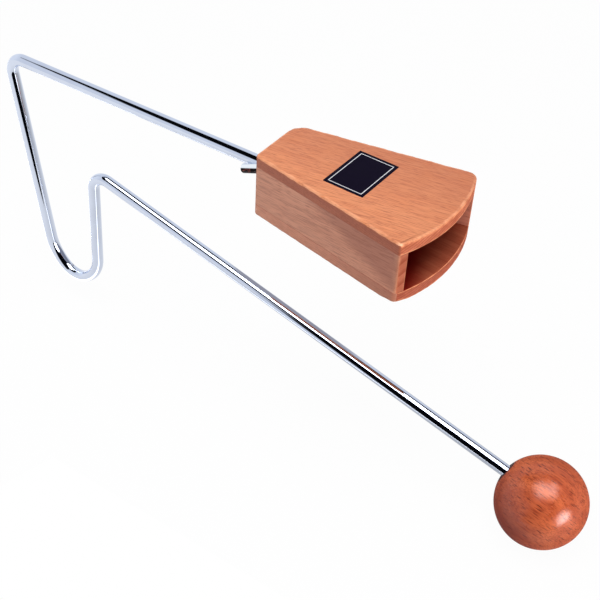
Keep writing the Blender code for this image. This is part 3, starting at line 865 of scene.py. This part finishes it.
def threadRadius(along, angle):
    # along is the distance from the tip
    left = rodBar["threadTip"] - rodBar["shoulder"] - along
    depth = rodBar["threadDepth"] * min(1, left / rodBar["threadRunOut"])
    phase = (along / rodBar["threadPitch"] + angle / wholeTurn) % 1
    ridge = min(1, max(0, rodBar["ridgeTop"] - abs(phase - 0.5) * rodBar["ridgeFall"]))
    radius = rodBar["threadRadius"] - depth * (1 - ridge)
    return min(radius, rodBar["threadRadius"] - rodBar["threadChamfer"] + along)


def makeRod():
    stations, ballSpot, along, heading = rodRoute()
    rings = []
    length = rodBar["threadTip"] - rodBar["shoulder"]
    steps = round(length / rodBar["threadPitch"] * rodBar["threadSteps"])
    for i in range(steps + 1):
        past = length * i / steps
        rings.append(rodRing(fromEnd(rodBar["threadTip"] - past), rodHeight, pi,
                             lambda angle: threadRadius(past, angle)))
    bevel, start = rodBar["shoulderBevel"], rodBar["shoulder"] - rodBar["shoulderGap"]
    plain = [(fromEnd(start), rodHeight, pi, rodBar["radius"] - bevel),
             (fromEnd(start - bevel), rodHeight, pi, rodBar["radius"])]
    plain += [(x, z, turn, rodBar["radius"]) for x, z, turn in stations]
    bevel = rodBar["endBevel"]
    for past, inset in ((rodBar["pastBall"] - bevel, 0.0), (rodBar["pastBall"], bevel)):
        tip = ballSpot + along * past
        plain.append((tip.x, tip.y, heading, rodBar["radius"] - inset))
    for x, z, turn, radius in plain:
        rings.append(rodRing(x, z, turn, lambda angle: radius))
    makePiece("rod", stack(rings), [makeChrome("chromeRod", chromeLook)], "rod")
    print("rod:", len(rings), "rings, threaded at the box")
    return ballSpot, along


ballSpot, ballAlong = makeRod()

# striking ball

ballPlan = {"radius": 23.5, "drop": 3.4, "hole": 3.6, "rimRound": 0.8, "holeFloor": 8.3,
            "sides": 96, "bands": 60, "rimSteps": 5}
ballLook = {
    **boxLook, "turn": (0, -rodBar["dip"], 0), "shift": (-60, 0, 25), "pith": (0, -150, 120),
    "ringWidth": 9.0, "ringWarp": 12.0, "rings": 0.0, "streaks": 1.0, "fibres": 0.7,
    "pale": tone(205, 105, 64), "middle": tone(183, 86, 50), "dark": tone(116, 30, 17),
    "fleckCell": (6.0, 0.76, 6.0), "fleckSpan": (0.19, 0.35), "rayTurn": -40.7, "fleckShare": 0.95,
    "flecks": 1.0, "fleckTone": tone(84, 26, 16), "cloud": 0.25,
    # the dark rub tone is a painted shadow ring round the rod's hole, and the shade is painted shade on
    # the ball's lower left
    "rubAndPaintedLight": 3.0, "rubAndPaintedLightTone": tone(56, 20, 16), "shade": 0.8, "shadeWay": (-0.50, -0.72, -0.48),
    "shadeRun": (-13.0, 10.0), "roughness": (0.24, 0.32), "polish": 0.5, "bump": 0.20,
    "glanceSpan": (0.2, 0.64),
}


def makeBall():
    axis = Vector((ballAlong.x, 0, ballAlong.y))
    across = Vector((0, 1, 0))
    third = axis.cross(across)
    spot = Vector((ballSpot.x, 0, ballSpot.y))
    below = Vector((ballAlong.y, 0, -ballAlong.x))
    middle = spot + below * ballPlan["drop"]
    radius, sides = ballPlan["radius"], ballPlan["sides"]

    def aroundHole(reach, depth, fromSurface=True):
        ring = []
        for i in range(sides):
            angle = wholeTurn * i / sides
            spoke = spot + (across * cos(angle) + third * sin(angle)) * reach
            if fromSurface:
                toMiddle = (middle - spoke).dot(axis)
                aside = (middle - spoke).length_squared - toMiddle ** 2
                ring.append(spoke + axis * (toMiddle - sqrt(radius ** 2 - aside) + depth))
            else:
                ring.append(spoke + axis * depth)
        return ring

    rings = [[spot + axis * ballPlan["holeFloor"]],
             aroundHole(ballPlan["hole"], ballPlan["holeFloor"], False)]
    ease = ballPlan["rimRound"]
    # the hole's rim and the first band are marked for the painted shadow ring round the rod
    rim = [1.0] * (1 + sides)
    for out, rise in quarter(ballPlan["rimSteps"]):
        rings.append(aroundHole(ballPlan["hole"] + ease * (1 - out), ease * (1 - rise)))
        rim += [1.0] * sides
    start = [(point - middle).normalized() for point in rings[-1]]
    pole = -sum(start, Vector()).normalized()
    bands = ballPlan["bands"]
    for band in range(1, bands):
        rings.append([middle + way.slerp(pole, band / bands) * radius for way in start])
        rim += [1.0 if band < 2 else 0.0] * sides
    rings.append([middle + pole * radius])
    rim.append(0.0)
    makePiece("ball", stack(rings), [makeWood("ballBeech", ballLook)], "ball", rim=rim)
    print("ball: drilled and eased")


makeBall()

# end block with its bores, and the lock pin

pinPlan = {"radius": 2.4, "length": 25.0, "reach": 15.8, "dip": 21.3, "side": -5.9,
           "riseAtFace": 2.9, "tipRound": 0.7, "rootRound": 0.4, "bore": 2.52,
           "boreReach": 6.0}
# the pin carries a painted dark reflection along the side facing down in the view, with reddish patches
# in it
pinLook = {"tone": tone(238, 242, 245), "paintedDarkReflection": tone(16, 11, 14), "reddishPatch": tone(118, 62, 56),
           "paintedReflectionSide": (0.39, -0.52, -0.76), "paintedReflectionRun": (-0.05, 0.15), "spotRun": (-0.1, 0.12),
           "reddishPatchRun": (0.5, 0.9), "spotPatch": 0.55, "roughness": (0.08, 0.5), "bump": 0.15,
           "bumpDepth": 0.0002}
blockPlan = {"gap": 0.02, "edge": 0.08, "rodBore": 3.45, "sink": 0.35, "sinkOut": 1.0,
             "screwBore": 1.62, "screwSide": 8.5, "screwEnd": 7.2, "past": 3.0}


def pinLine():
    dip = radians(pinPlan["dip"])
    outward = Vector((-cos(dip), 0, -sin(dip)))
    face = Vector((fromEnd(0), pinPlan["side"], rodHeight + pinPlan["riseAtFace"]))
    return face, outward


def makeEndBlock():
    length, gap = boxPlan["blockLength"], blockPlan["gap"]
    low, high = betweenBoards()
    back = sideAt(0, boxPlan["wall"]) - gap
    front = sideAt(length, boxPlan["wall"]) - gap
    outline = [(0, -back), (length, -front), (length, front), (0, back)]
    edge, past = blockPlan["edge"], blockPlan["past"]
    rings = []
    for inset, z in ((edge, low), (0, low + edge), (0, high - edge), (edge, high)):
        rings.append([(fromEnd(x), y, z) for x, y in shrink(outline, inset)])
    bore, sink, out = blockPlan["rodBore"], blockPlan["sink"], blockPlan["sinkOut"]
    cutters = [stack(turned([(bore + sink + out, -out), (bore, sink), (bore, length + past)],
                            (fromEnd(0), 0, rodHeight), (1, 0, 0)))]
    face, outward = pinLine()
    root = pinPlan["length"] - pinPlan["reach"]
    cutters.append(drill(pinPlan["bore"], face, outward, -root, pinPlan["boreReach"]))
    for side in (-1, 1):
        start = (fromEnd(blockPlan["screwEnd"]), side * blockPlan["screwSide"], rodHeight)
        deep = length - blockPlan["screwEnd"] + past
        cutters.append(drill(blockPlan["screwBore"], start, (1, 0, 0), 0, deep, sides=24))
    makePiece("endBlock", stack(rings), [blockWood], "end_block",
              cutters=cutters)
    print("end block: bored")


def roundedEnd(radius, end, ease, up, steps=6):
    # profile of a bar's rounded end, from its side to its face
    return [(radius - ease * (1 - across), end - up * ease * (1 - rise))
            for across, rise in quarter(steps)]


def makePinSteel():
    material, tree, shader = startMaterial("chromePin", {"Metallic": 1.0})
    where = partCoords(tree)
    # painted dark reflection on the side facing down in the view, broken into patches, some of them
    # reddish; it is rougher there too
    under = alongWay(tree, put(tree, "TexCoord").outputs["Normal"], pinLook["paintedReflectionSide"])
    spots = mottle(tree, where, pinLook["spotPatch"])
    paintedDarkReflection = sums(tree, "MULTIPLY", spread(tree, under, *pinLook["paintedReflectionRun"]),
                 spread(tree, spots, *pinLook["spotRun"]))
    reddishPatch = blendTones(tree, spread(tree, spots, *pinLook["reddishPatchRun"]), pinLook["paintedDarkReflection"], pinLook["reddishPatch"])
    colour = blendTones(tree, paintedDarkReflection, pinLook["tone"], reddishPatch)
    gloss = spread(tree, paintedDarkReflection, 0.0, 1.0, *pinLook["roughness"])
    dress(tree, shader, colour, gloss, spots, pinLook["bump"], pinLook["bumpDepth"])
    return material


def makePin():
    face, outward = pinLine()
    root = pinPlan["length"] - pinPlan["reach"]
    profile = [(0, -root)] + roundedEnd(pinPlan["radius"], -root, pinPlan["rootRound"], -1)[::-1]
    profile += roundedEnd(pinPlan["radius"], pinPlan["reach"], pinPlan["tipRound"], 1)
    profile.append((0, pinPlan["reach"]))
    makePiece("lockPin", stack(turned(profile, face, outward)), [makePinSteel()],
              "lock_pin")
    print("lock pin made")


makeEndBlock()
makePin()

# rattle: plate, fasteners and loose rivets

platePlan = {"back": 18.1, "thickness": 1.2, "bend": 0.6, "tongueTop": 11.4, "tongueTip": 67.5,
             "flangeTop": 22.85, "width": 24.2, "corner": 3.0, "threadHole": 2.8,
             "screwHole": 1.8, "rivetHole": 1.9, "edge": 0.12, "bendSteps": 10, "cornerSteps": 8,
             "past": 3.0, "through": 8.0, "cornerPast": 1.0}
rivetPlan = {"rows": (29.0, 40.0, 51.0, 62.0), "side": 6.7, "head": 3.5, "headHeight": 2.0,
             "shank": 1.5, "grip": 3.3, "tail": 2.7, "tailThickness": 0.8, "restGap": 0.3,
             "edge": 0.15, "tailEdge": 0.2, "cup": ((0, 0.25), (0.55, 0.2), (0.8, 0))}
nutPlan = {"back": 20.5, "thickness": 4.0, "flats": 8.0, "bore": 2.62, "chamfer": 0.3,
           "crown": 0.97, "crownSlope": 30, "sides": 96}
washerPlan = {"back": 19.4, "thickness": 1.0, "radius": 4.5, "bore": 2.62, "edge": 0.15}
screwPlan = {"seat": 19.4, "side": 8.5, "head": 2.8, "headHeight": 1.8, "shank": 1.5,
             "length": 12.0, "point": 3.0, "slotWidth": 0.8, "slotDepth": 0.9, "slotReach": 4.0,
             "slotLean": 25, "slotPast": 3, "pitch": 1.1, "threadDepth": 0.3, "threads": 5,
             "edge": 0.12, "headEase": 0.15, "pointShare": 0.9, "rootStart": 0.15, "rootEnd": 0.6,
             "crest": 0.85}
steelLook = {"tone": tone(150, 153, 158), "worn": tone(118, 118, 120), "roughness": (0.26, 0.44),
             "lines": (5.0, 0.06, 5.0), "bump": 0.25, "bumpDepth": 0.00004, "agePatch": 0.35,
             "glossPatch": 0.7}
zincLook = {**steelLook, "tone": tone(196, 198, 196), "worn": tone(160, 160, 152),
            "roughness": (0.22, 0.42), "lines": (1.4, 1.4, 1.4), "bump": 0.12}


def makeBareMetal(name, look):
    material, tree, shader = startMaterial(name, {"Metallic": 1.0})
    where = partCoords(tree)
    colour = blendTones(tree, mottle(tree, where, look["agePatch"]), look["tone"], look["worn"])
    gloss = mottle(tree, where, look["glossPatch"], *look["roughness"])
    lines = useGroup(tree, toolLines, {"Vector": where, "Stretch": look["lines"]})["Height"]
    dress(tree, shader, colour, gloss, lines, look["bump"], look["bumpDepth"])
    return material


springSteel = makeBareMetal("rolledSpringSteel", steelLook)
zincPlate = makeBareMetal("zincPlate", zincLook)


def rivetSpots():
    return [(fromEnd(x), side * rivetPlan["side"]) for x in rivetPlan["rows"] for side in (-1, 1)]


def makePlate():
    inside = platePlan["bend"]
    outside = inside + platePlan["thickness"]
    top = platePlan["tongueTop"]
    bottom = top - platePlan["thickness"]
    back, front = platePlan["back"], platePlan["back"] + platePlan["thickness"]
    turn = (front + inside, top + inside)
    steps = platePlan["bendSteps"]
    angles = [radians(270 - 90 * i / steps) for i in range(steps + 1)]
    profile = [(platePlan["tongueTip"], bottom)]
    profile += [(turn[0] + outside * cos(t), turn[1] + outside * sin(t)) for t in angles]
    profile += [(back, platePlan["flangeTop"]), (front, platePlan["flangeTop"])]
    profile += [(turn[0] + inside * cos(t), turn[1] + inside * sin(t)) for t in angles[::-1]]
    profile.append((platePlan["tongueTip"], top))
    half = platePlan["width"] / 2
    rings = [[(fromEnd(x), y, z) for x, z in profile] for y in (-half, half)]
    past, through = platePlan["past"], platePlan["through"]
    start = fromEnd(back - past)
    cutters = [drill(platePlan["threadHole"], (start, 0, rodHeight), (1, 0, 0), 0, through)]
    for side in (-1, 1):
        screwStart = (start, side * screwPlan["side"], rodHeight)
        cutters.append(drill(platePlan["screwHole"], screwStart, (1, 0, 0), 0, through, sides=32))
        for middleX, middleZ, onTongue in ((platePlan["tongueTip"], (top + bottom) / 2, True),
                                           ((back + front) / 2, platePlan["flangeTop"], False)):
            cutters.append(cornerCutter(middleX, middleZ, onTongue, side * half))
    for x, y in rivetSpots():
        cutters.append(drill(platePlan["rivetHole"], (x, y, 0), (0, 0, 1), bottom - past, top + past,
                             sides=40))
    makePiece("rattlePlate", stack(rings), [springSteel], "rattle_plate",
              cutters=cutters, easeEdges=platePlan["edge"], crease=30)
    print("rattle plate: bent, holed and eased")


def cornerCutter(x, z, onTongue, y):
    # what the rounded corner of the strip leaves out, through its thickness
    radius, past = platePlan["corner"], platePlan["cornerPast"]
    side = 1 if y > 0 else -1
    flat = [(radius * (1 - across), radius * (1 - rise))
            for across, rise in quarter(platePlan["cornerSteps"])]
    flat += [(radius, -past), (-past, -past), (-past, radius)]
    through = 2 * platePlan["thickness"]
    rings = []
    for shift in (-through, through):
        if onTongue:
            rings.append([(fromEnd(x - back), y - side * inY, z + shift) for back, inY in flat])
        else:
            rings.append([(fromEnd(x + shift), y - side * inY, z - back) for back, inY in flat])
    return stack(rings)


def makeWasher():
    edge, bore, radius = washerPlan["edge"], washerPlan["bore"], washerPlan["radius"]
    high = washerPlan["thickness"]
    profile = [(bore, edge), (bore + edge, 0), (radius - edge, 0), (radius, edge),
               (radius, high - edge), (radius - edge, high), (bore + edge, high),
               (bore, high - edge)]
    rings = turned(profile, (fromEnd(washerPlan["back"]), 0, rodHeight), (1, 0, 0), sides=64)
    makePiece("rodWasher", stack(rings, loop=True), [zincPlate], "rod_washer", crease=30)


def makeNut():
    half, bore, chamfer = nutPlan["flats"] / 2, nutPlan["bore"], nutPlan["chamfer"]
    high, sides = nutPlan["thickness"], nutPlan["sides"]
    crown = half * nutPlan["crown"]
    spokes = []
    for i in range(sides):
        angle = wholeTurn * i / sides
        nearFlat = (angle + pi / 6) % (pi / 3) - pi / 6
        reach = half / cos(nearFlat)
        fall = (reach - crown) * tan(radians(nutPlan["crownSlope"]))
        profile = [(bore, chamfer), (bore + chamfer, 0), (crown, 0), (reach, fall),
                   (reach, high - fall), (crown, high), (bore + chamfer, high),
                   (bore, high - chamfer)]
        spokes.append([(fromEnd(nutPlan["back"] + along), radius * cos(angle),
                        rodHeight + radius * sin(angle)) for radius, along in profile])
    rings = [list(ring) for ring in zip(*spokes)]
    makePiece("rodNut", stack(rings, loop=True), [zincPlate], "rod_nut", crease=25)


def dome(radius, height, steps=8):
    curve = [(radius * across, height * rise) for across, rise in quarter(steps)]
    return curve[:-1] + [(0, height)]


def makeScrew(name, node, side):
    seat = (fromEnd(screwPlan["seat"]), side * screwPlan["side"], rodHeight)
    shank, length = screwPlan["shank"], screwPlan["length"]
    profile = [(0, -length), (shank * screwPlan["pointShare"], -length + screwPlan["point"])]
    pitch, depth, edge = screwPlan["pitch"], screwPlan["threadDepth"], screwPlan["edge"]
    for i in range(screwPlan["threads"]):
        start = -length + screwPlan["point"] + i * pitch
        profile += [(shank - depth, start + screwPlan["rootStart"]),
                    (shank - depth, start + pitch * screwPlan["rootEnd"]),
                    (shank, start + pitch * screwPlan["crest"])]
    head, high = screwPlan["head"], screwPlan["headHeight"]
    profile += [(shank, 0), (head - screwPlan["headEase"], 0), (head, edge)]
    profile += [(r, edge + h) for r, h in dome(head, high - edge)[1:]]
    half, deep = screwPlan["slotWidth"] / 2, high - screwPlan["slotDepth"]
    lean, out = radians(screwPlan["slotLean"] * side), screwPlan["slotReach"]
    corners = [(out, half), (-out, half), (-out, -half), (out, -half)]
    loop = [(a * cos(lean) - b * sin(lean), a * sin(lean) + b * cos(lean)) for a, b in corners]
    slot = stack([[(seat[0] + along, seat[1] + a, seat[2] + b) for a, b in loop]
                  for along in (deep, deep + screwPlan["slotPast"])])
    makePiece(name, stack(turned(profile, seat, (1, 0, 0), sides=32)), [zincPlate], node,
              cutters=[slot], crease=35)


def makeRivet(number, spot):
    head, shank, tail = rivetPlan["head"], rivetPlan["shank"], rivetPlan["tail"]
    grip, foot = rivetPlan["grip"], rivetPlan["grip"] + rivetPlan["tailThickness"]
    edge, tailEdge = rivetPlan["edge"], rivetPlan["tailEdge"]
    profile = [(shank * share, -foot + rise) for share, rise in rivetPlan["cup"]]
    profile += [(tail - tailEdge, -foot), (tail, -foot + tailEdge), (tail, -grip - edge),
                (tail - edge, -grip), (shank, -grip), (shank, 0), (head - edge, 0), (head, edge)]
    profile += [(r, edge + h) for r, h in dome(head, rivetPlan["headHeight"] - edge, steps=10)[1:]]
    seat = (spot[0], spot[1], platePlan["tongueTop"] + rivetPlan["restGap"])
    makePiece(f"rivet{number}", stack(turned(profile, seat, (0, 0, 1), sides=40)), [zincPlate],
              f"rivet_{number}", body=f"rivet_{number}", crease=35)


makePlate()
makeWasher()
makeNut()
makeScrew("nearPlateScrew", "near_plate_screw", -1)
makeScrew("farPlateScrew", "far_plate_screw", 1)
for number, spot in enumerate(rivetSpots(), 1):
    makeRivet(number, spot)
print("rattle: nut, washer, screws and", len(rivetSpots()), "rivets")

# studio: floor sheet, world, lamps and camera

studio = {
    "floorHeight": -0.1359, "floorTone": tone(222, 222, 224), "floorGlow": 0.965,
    # the sheet stops short of the unlit room on the camera's side
    "floorPlan": ((-1.6, -1.6), (-0.48, -1.6), (-0.107, -0.107), (1.6, -0.112), (1.6, 1.8),
                  (-1.6, 1.8)),
    # painted light for mirrors: the floor is brighter towards one side, and a bright sheen line stands
    # in for a lamp's reflection on it
    "mirroredRun": (0.25, -0.35), "mirrored": (0.5, 1.05),  # how bright metal sees it, along x
    "sheenStart": (-0.2, 0.0), "sheenAzimuth": -18.0, "sheenWidth": (0.009, 0.003), "sheen": 2.2,
    "fill": tone(146, 147, 150),
    "tent": (0.84, 0.87, 0.93, 1), "dark": tone(8, 8, 12), "backTop": tone(150, 150, 160),
    "right": tone(140, 142, 154), "left": (0.97, 1.0, 1.05, 1), "softbox": (6.8, 6.8, 6.8, 1),
    "glint": (18.0, 18.0, 18.0, 1),
    # centre azimuth and elevation, radius and softness of each part of the tent, in degrees
    "leftCap": (180, 0, 36, 14), "backTopCap": (30, 35, 42, 3), "rightCap": (38, 8, 32, 10),
    "ceilingCap": (-83, 76, 43, 1.5), "gapCap": (-122, 46, 15, 2), "frontCap": (-80, 28, 17, 2),
    "backGapCap": (78, 68, 14, 2), "roomCap": (-46, -4, 58.5, 2), "glintCap": (-15, 1, 15, 4),
    "seamCap": (-101, 38, 7, 2), "sillCap": (-97, 9, 5.5, 1.5),
    # a grey flag hangs behind: the middle stretch of the ball's arm mirrors it
    "flag": (0.42, 0.40, 0.43, 1), "flagCaps": ((0, -14.2, 107.3, 0.5), (0, -14.2, 100.1, 1.2),
                                                (95, 35, 55, 1.5)),
    # the mirrored softbox lies square to the camera: its turn, then left to right and front to back
    "softboxTurn": 34.2, "softboxSpan": ((-0.46, 0.5), (-0.57, 0.11)), "softboxEdge": 0.015,
    "softboxLowest": 0.05,
}


def aim(azimuth, elevation):
    across = cos(radians(elevation))
    return Vector((across * cos(radians(azimuth)), across * sin(radians(azimuth)),
                   sin(radians(elevation))))


def mirrorRays(tree):
    rays = put(tree, "LightPath").outputs
    return rays, sums(tree, "MAXIMUM", rays["Is Glossy Ray"], rays["Is Transmission Ray"])


def makeFloor():
    mesh = bpy.data.meshes.new("floorSheet")
    corners = [(x, y, studio["floorHeight"]) for x, y in studio["floorPlan"]]
    mesh.from_pydata(corners, [], [list(range(len(corners)))])
    floor = setDown("floorSheet", mesh)
    material, tree, _ = startMaterial("floorPaper", {
        "Base Color": studio["floorTone"], "Roughness": 0.9, "Specular IOR Level": 0.1})
    where = put(tree, "TexCoord").outputs["Object"]
    along = put(tree, "SeparateXYZ", {0: where}).outputs[0]
    # painted light for mirrors: brighter towards one side, with a bright sheen line standing in for a
    # lamp's reflection
    bright = spread(tree, along, *studio["mirroredRun"], *studio["mirrored"])
    fromStart = vectors(tree, "SUBTRACT", where, (*studio["sheenStart"], 0))
    aside = alongWay(tree, fromStart, aim(studio["sheenAzimuth"] + 90, 0))
    sheen = spread(tree, sums(tree, "ABSOLUTE", aside), *studio["sheenWidth"], 0.0, studio["sheen"])
    bright = sums(tree, "ADD", bright, sheen)
    rays, mirrored = mirrorRays(tree)
    strength = put(tree, "Mix", {0: mirrored, 2: 1.0, 3: bright}).outputs[0]
    glow = put(tree, "Emission", {"Color": (1, 1, 1, 1), "Strength": strength})
    seen = sums(tree, "MAXIMUM", mirrored, rays["Is Camera Ray"])
    mix = put(tree, "MixShader", {0: sums(tree, "MULTIPLY", seen, studio["floorGlow"]),
                                  1: tree.nodes["Principled BSDF"].outputs[0],
                                  2: glow.outputs[0]})
    tree.links.new(mix.outputs[0], tree.nodes["Material Output"].inputs["Surface"])
    mesh.materials.append(material)
    print("floor sheet laid")


def makeWorld():
    # a white tent with an open, unlit room in front of it
    world = bpy.data.worlds.new("studio")
    bpy.context.scene.world = world
    world.use_nodes = True
    tree = world.node_tree
    way = put(tree, "TexCoord").outputs["Generated"]

    def cap(azimuth, elevation, radius, soft):
        facing = alongWay(tree, way, aim(azimuth, elevation))
        return spread(tree, facing, cos(radians(radius + soft)), cos(radians(radius - soft)))

    colour = studio["tent"]
    for tint, names in (("left", ("leftCap",)), ("backTop", ("backTopCap",)), ("right", ("rightCap",)),
                        ("dark", ("ceilingCap", "gapCap", "frontCap", "backGapCap", "roomCap",
                                  "seamCap", "sillCap")), ("glint", ("glintCap",))):
        for name in names:
            colour = blendTones(tree, cap(*studio[name]), colour, studio[tint])
    square = put(tree, "VectorRotate", {"Vector": way, "Angle": -radians(studio["softboxTurn"])},
                 rotation_type="Z_AXIS").outputs[0]
    axes = put(tree, "SeparateXYZ", {0: square}).outputs
    rise = sums(tree, "MAXIMUM", axes[2], studio["softboxLowest"])
    inside = []
    for axis, (low, high) in enumerate(studio["softboxSpan"]):
        offset = sums(tree, "SUBTRACT", sums(tree, "DIVIDE", axes[axis], rise), (low + high) / 2)
        inside.append(sums(tree, "SUBTRACT", (high - low) / 2, sums(tree, "ABSOLUTE", offset)))
    edge = studio["softboxEdge"]
    within = spread(tree, sums(tree, "MINIMUM", *inside), -edge, edge)
    colour = blendTones(tree, within, colour, studio["softbox"])
    outer, inner, back = [cap(*place) for place in studio["flagCaps"]]
    flag = sums(tree, "MULTIPLY", sums(tree, "SUBTRACT", outer, inner), back)
    colour = blendTones(tree, flag, colour, studio["flag"])
    rays, mirrored = mirrorRays(tree)
    colour = blendTones(tree, mirrored, studio["fill"], colour)  # only mirrors see the tent
    colour = blendTones(tree, rays["Is Camera Ray"], colour, (1, 1, 1, 1))
    tree.links.new(colour, tree.nodes["Background"].inputs["Color"])
    print("world: white tent, dark room in front")


lampTarget = (0, 0, -0.03)
lampPlans = {
    "overheadBox": {"azimuth": -80, "elevation": 73, "distance": 1.5, "size": 1.35, "watts": 23.5},
    "rightBox": {"azimuth": -10, "elevation": 1, "distance": 1.2, "size": 0.5, "watts": 8.0},
}


def makeLamps():
    for name, plan in lampPlans.items():
        light = bpy.data.lights.new(name, "AREA")
        light.shape = "DISK"
        light.size = plan["size"]
        light.energy = plan["watts"]
        lamp = setDown(name, light)
        way = aim(plan["azimuth"], plan["elevation"])
        lamp.location = Vector(lampTarget) + way * plan["distance"]
        lamp.rotation_mode = "QUATERNION"
        lamp.rotation_quaternion = way.to_track_quat("Z", "Y")
        lamp.visible_camera = False
        lamp.visible_glossy = False  # polish mirrors the softboxes drawn in the world
    print("lamps:", len(lampPlans))


cameraPlan = {"place": (0.2231, -0.4015, 0.3446), "right": (0.82649, 0.56091, 0.04785),
              "forward": (-0.4018, 0.6473, -0.64773), "lens": 72.0, "sensor": 36.0, "clip": 0.01}


def makeCamera():
    data = bpy.data.cameras.new("photoView")
    data.lens = cameraPlan["lens"]
    data.sensor_width = cameraPlan["sensor"]
    data.clip_start = cameraPlan["clip"]
    camera = setDown("photoView", data)
    back = -Vector(cameraPlan["forward"]).normalized()
    up = back.cross(Vector(cameraPlan["right"])).normalized()
    right = up.cross(back)
    camera.matrix_world = Matrix.Translation(cameraPlan["place"]) @ Matrix(
        (right, up, back)).transposed().to_4x4()
    bpy.context.scene.camera = camera
    bpy.context.scene.view_settings.view_transform = "Standard"
    print("camera set")


makeFloor()
makeWorld()
makeLamps()
makeCamera()

bpy.context.view_layer.update()
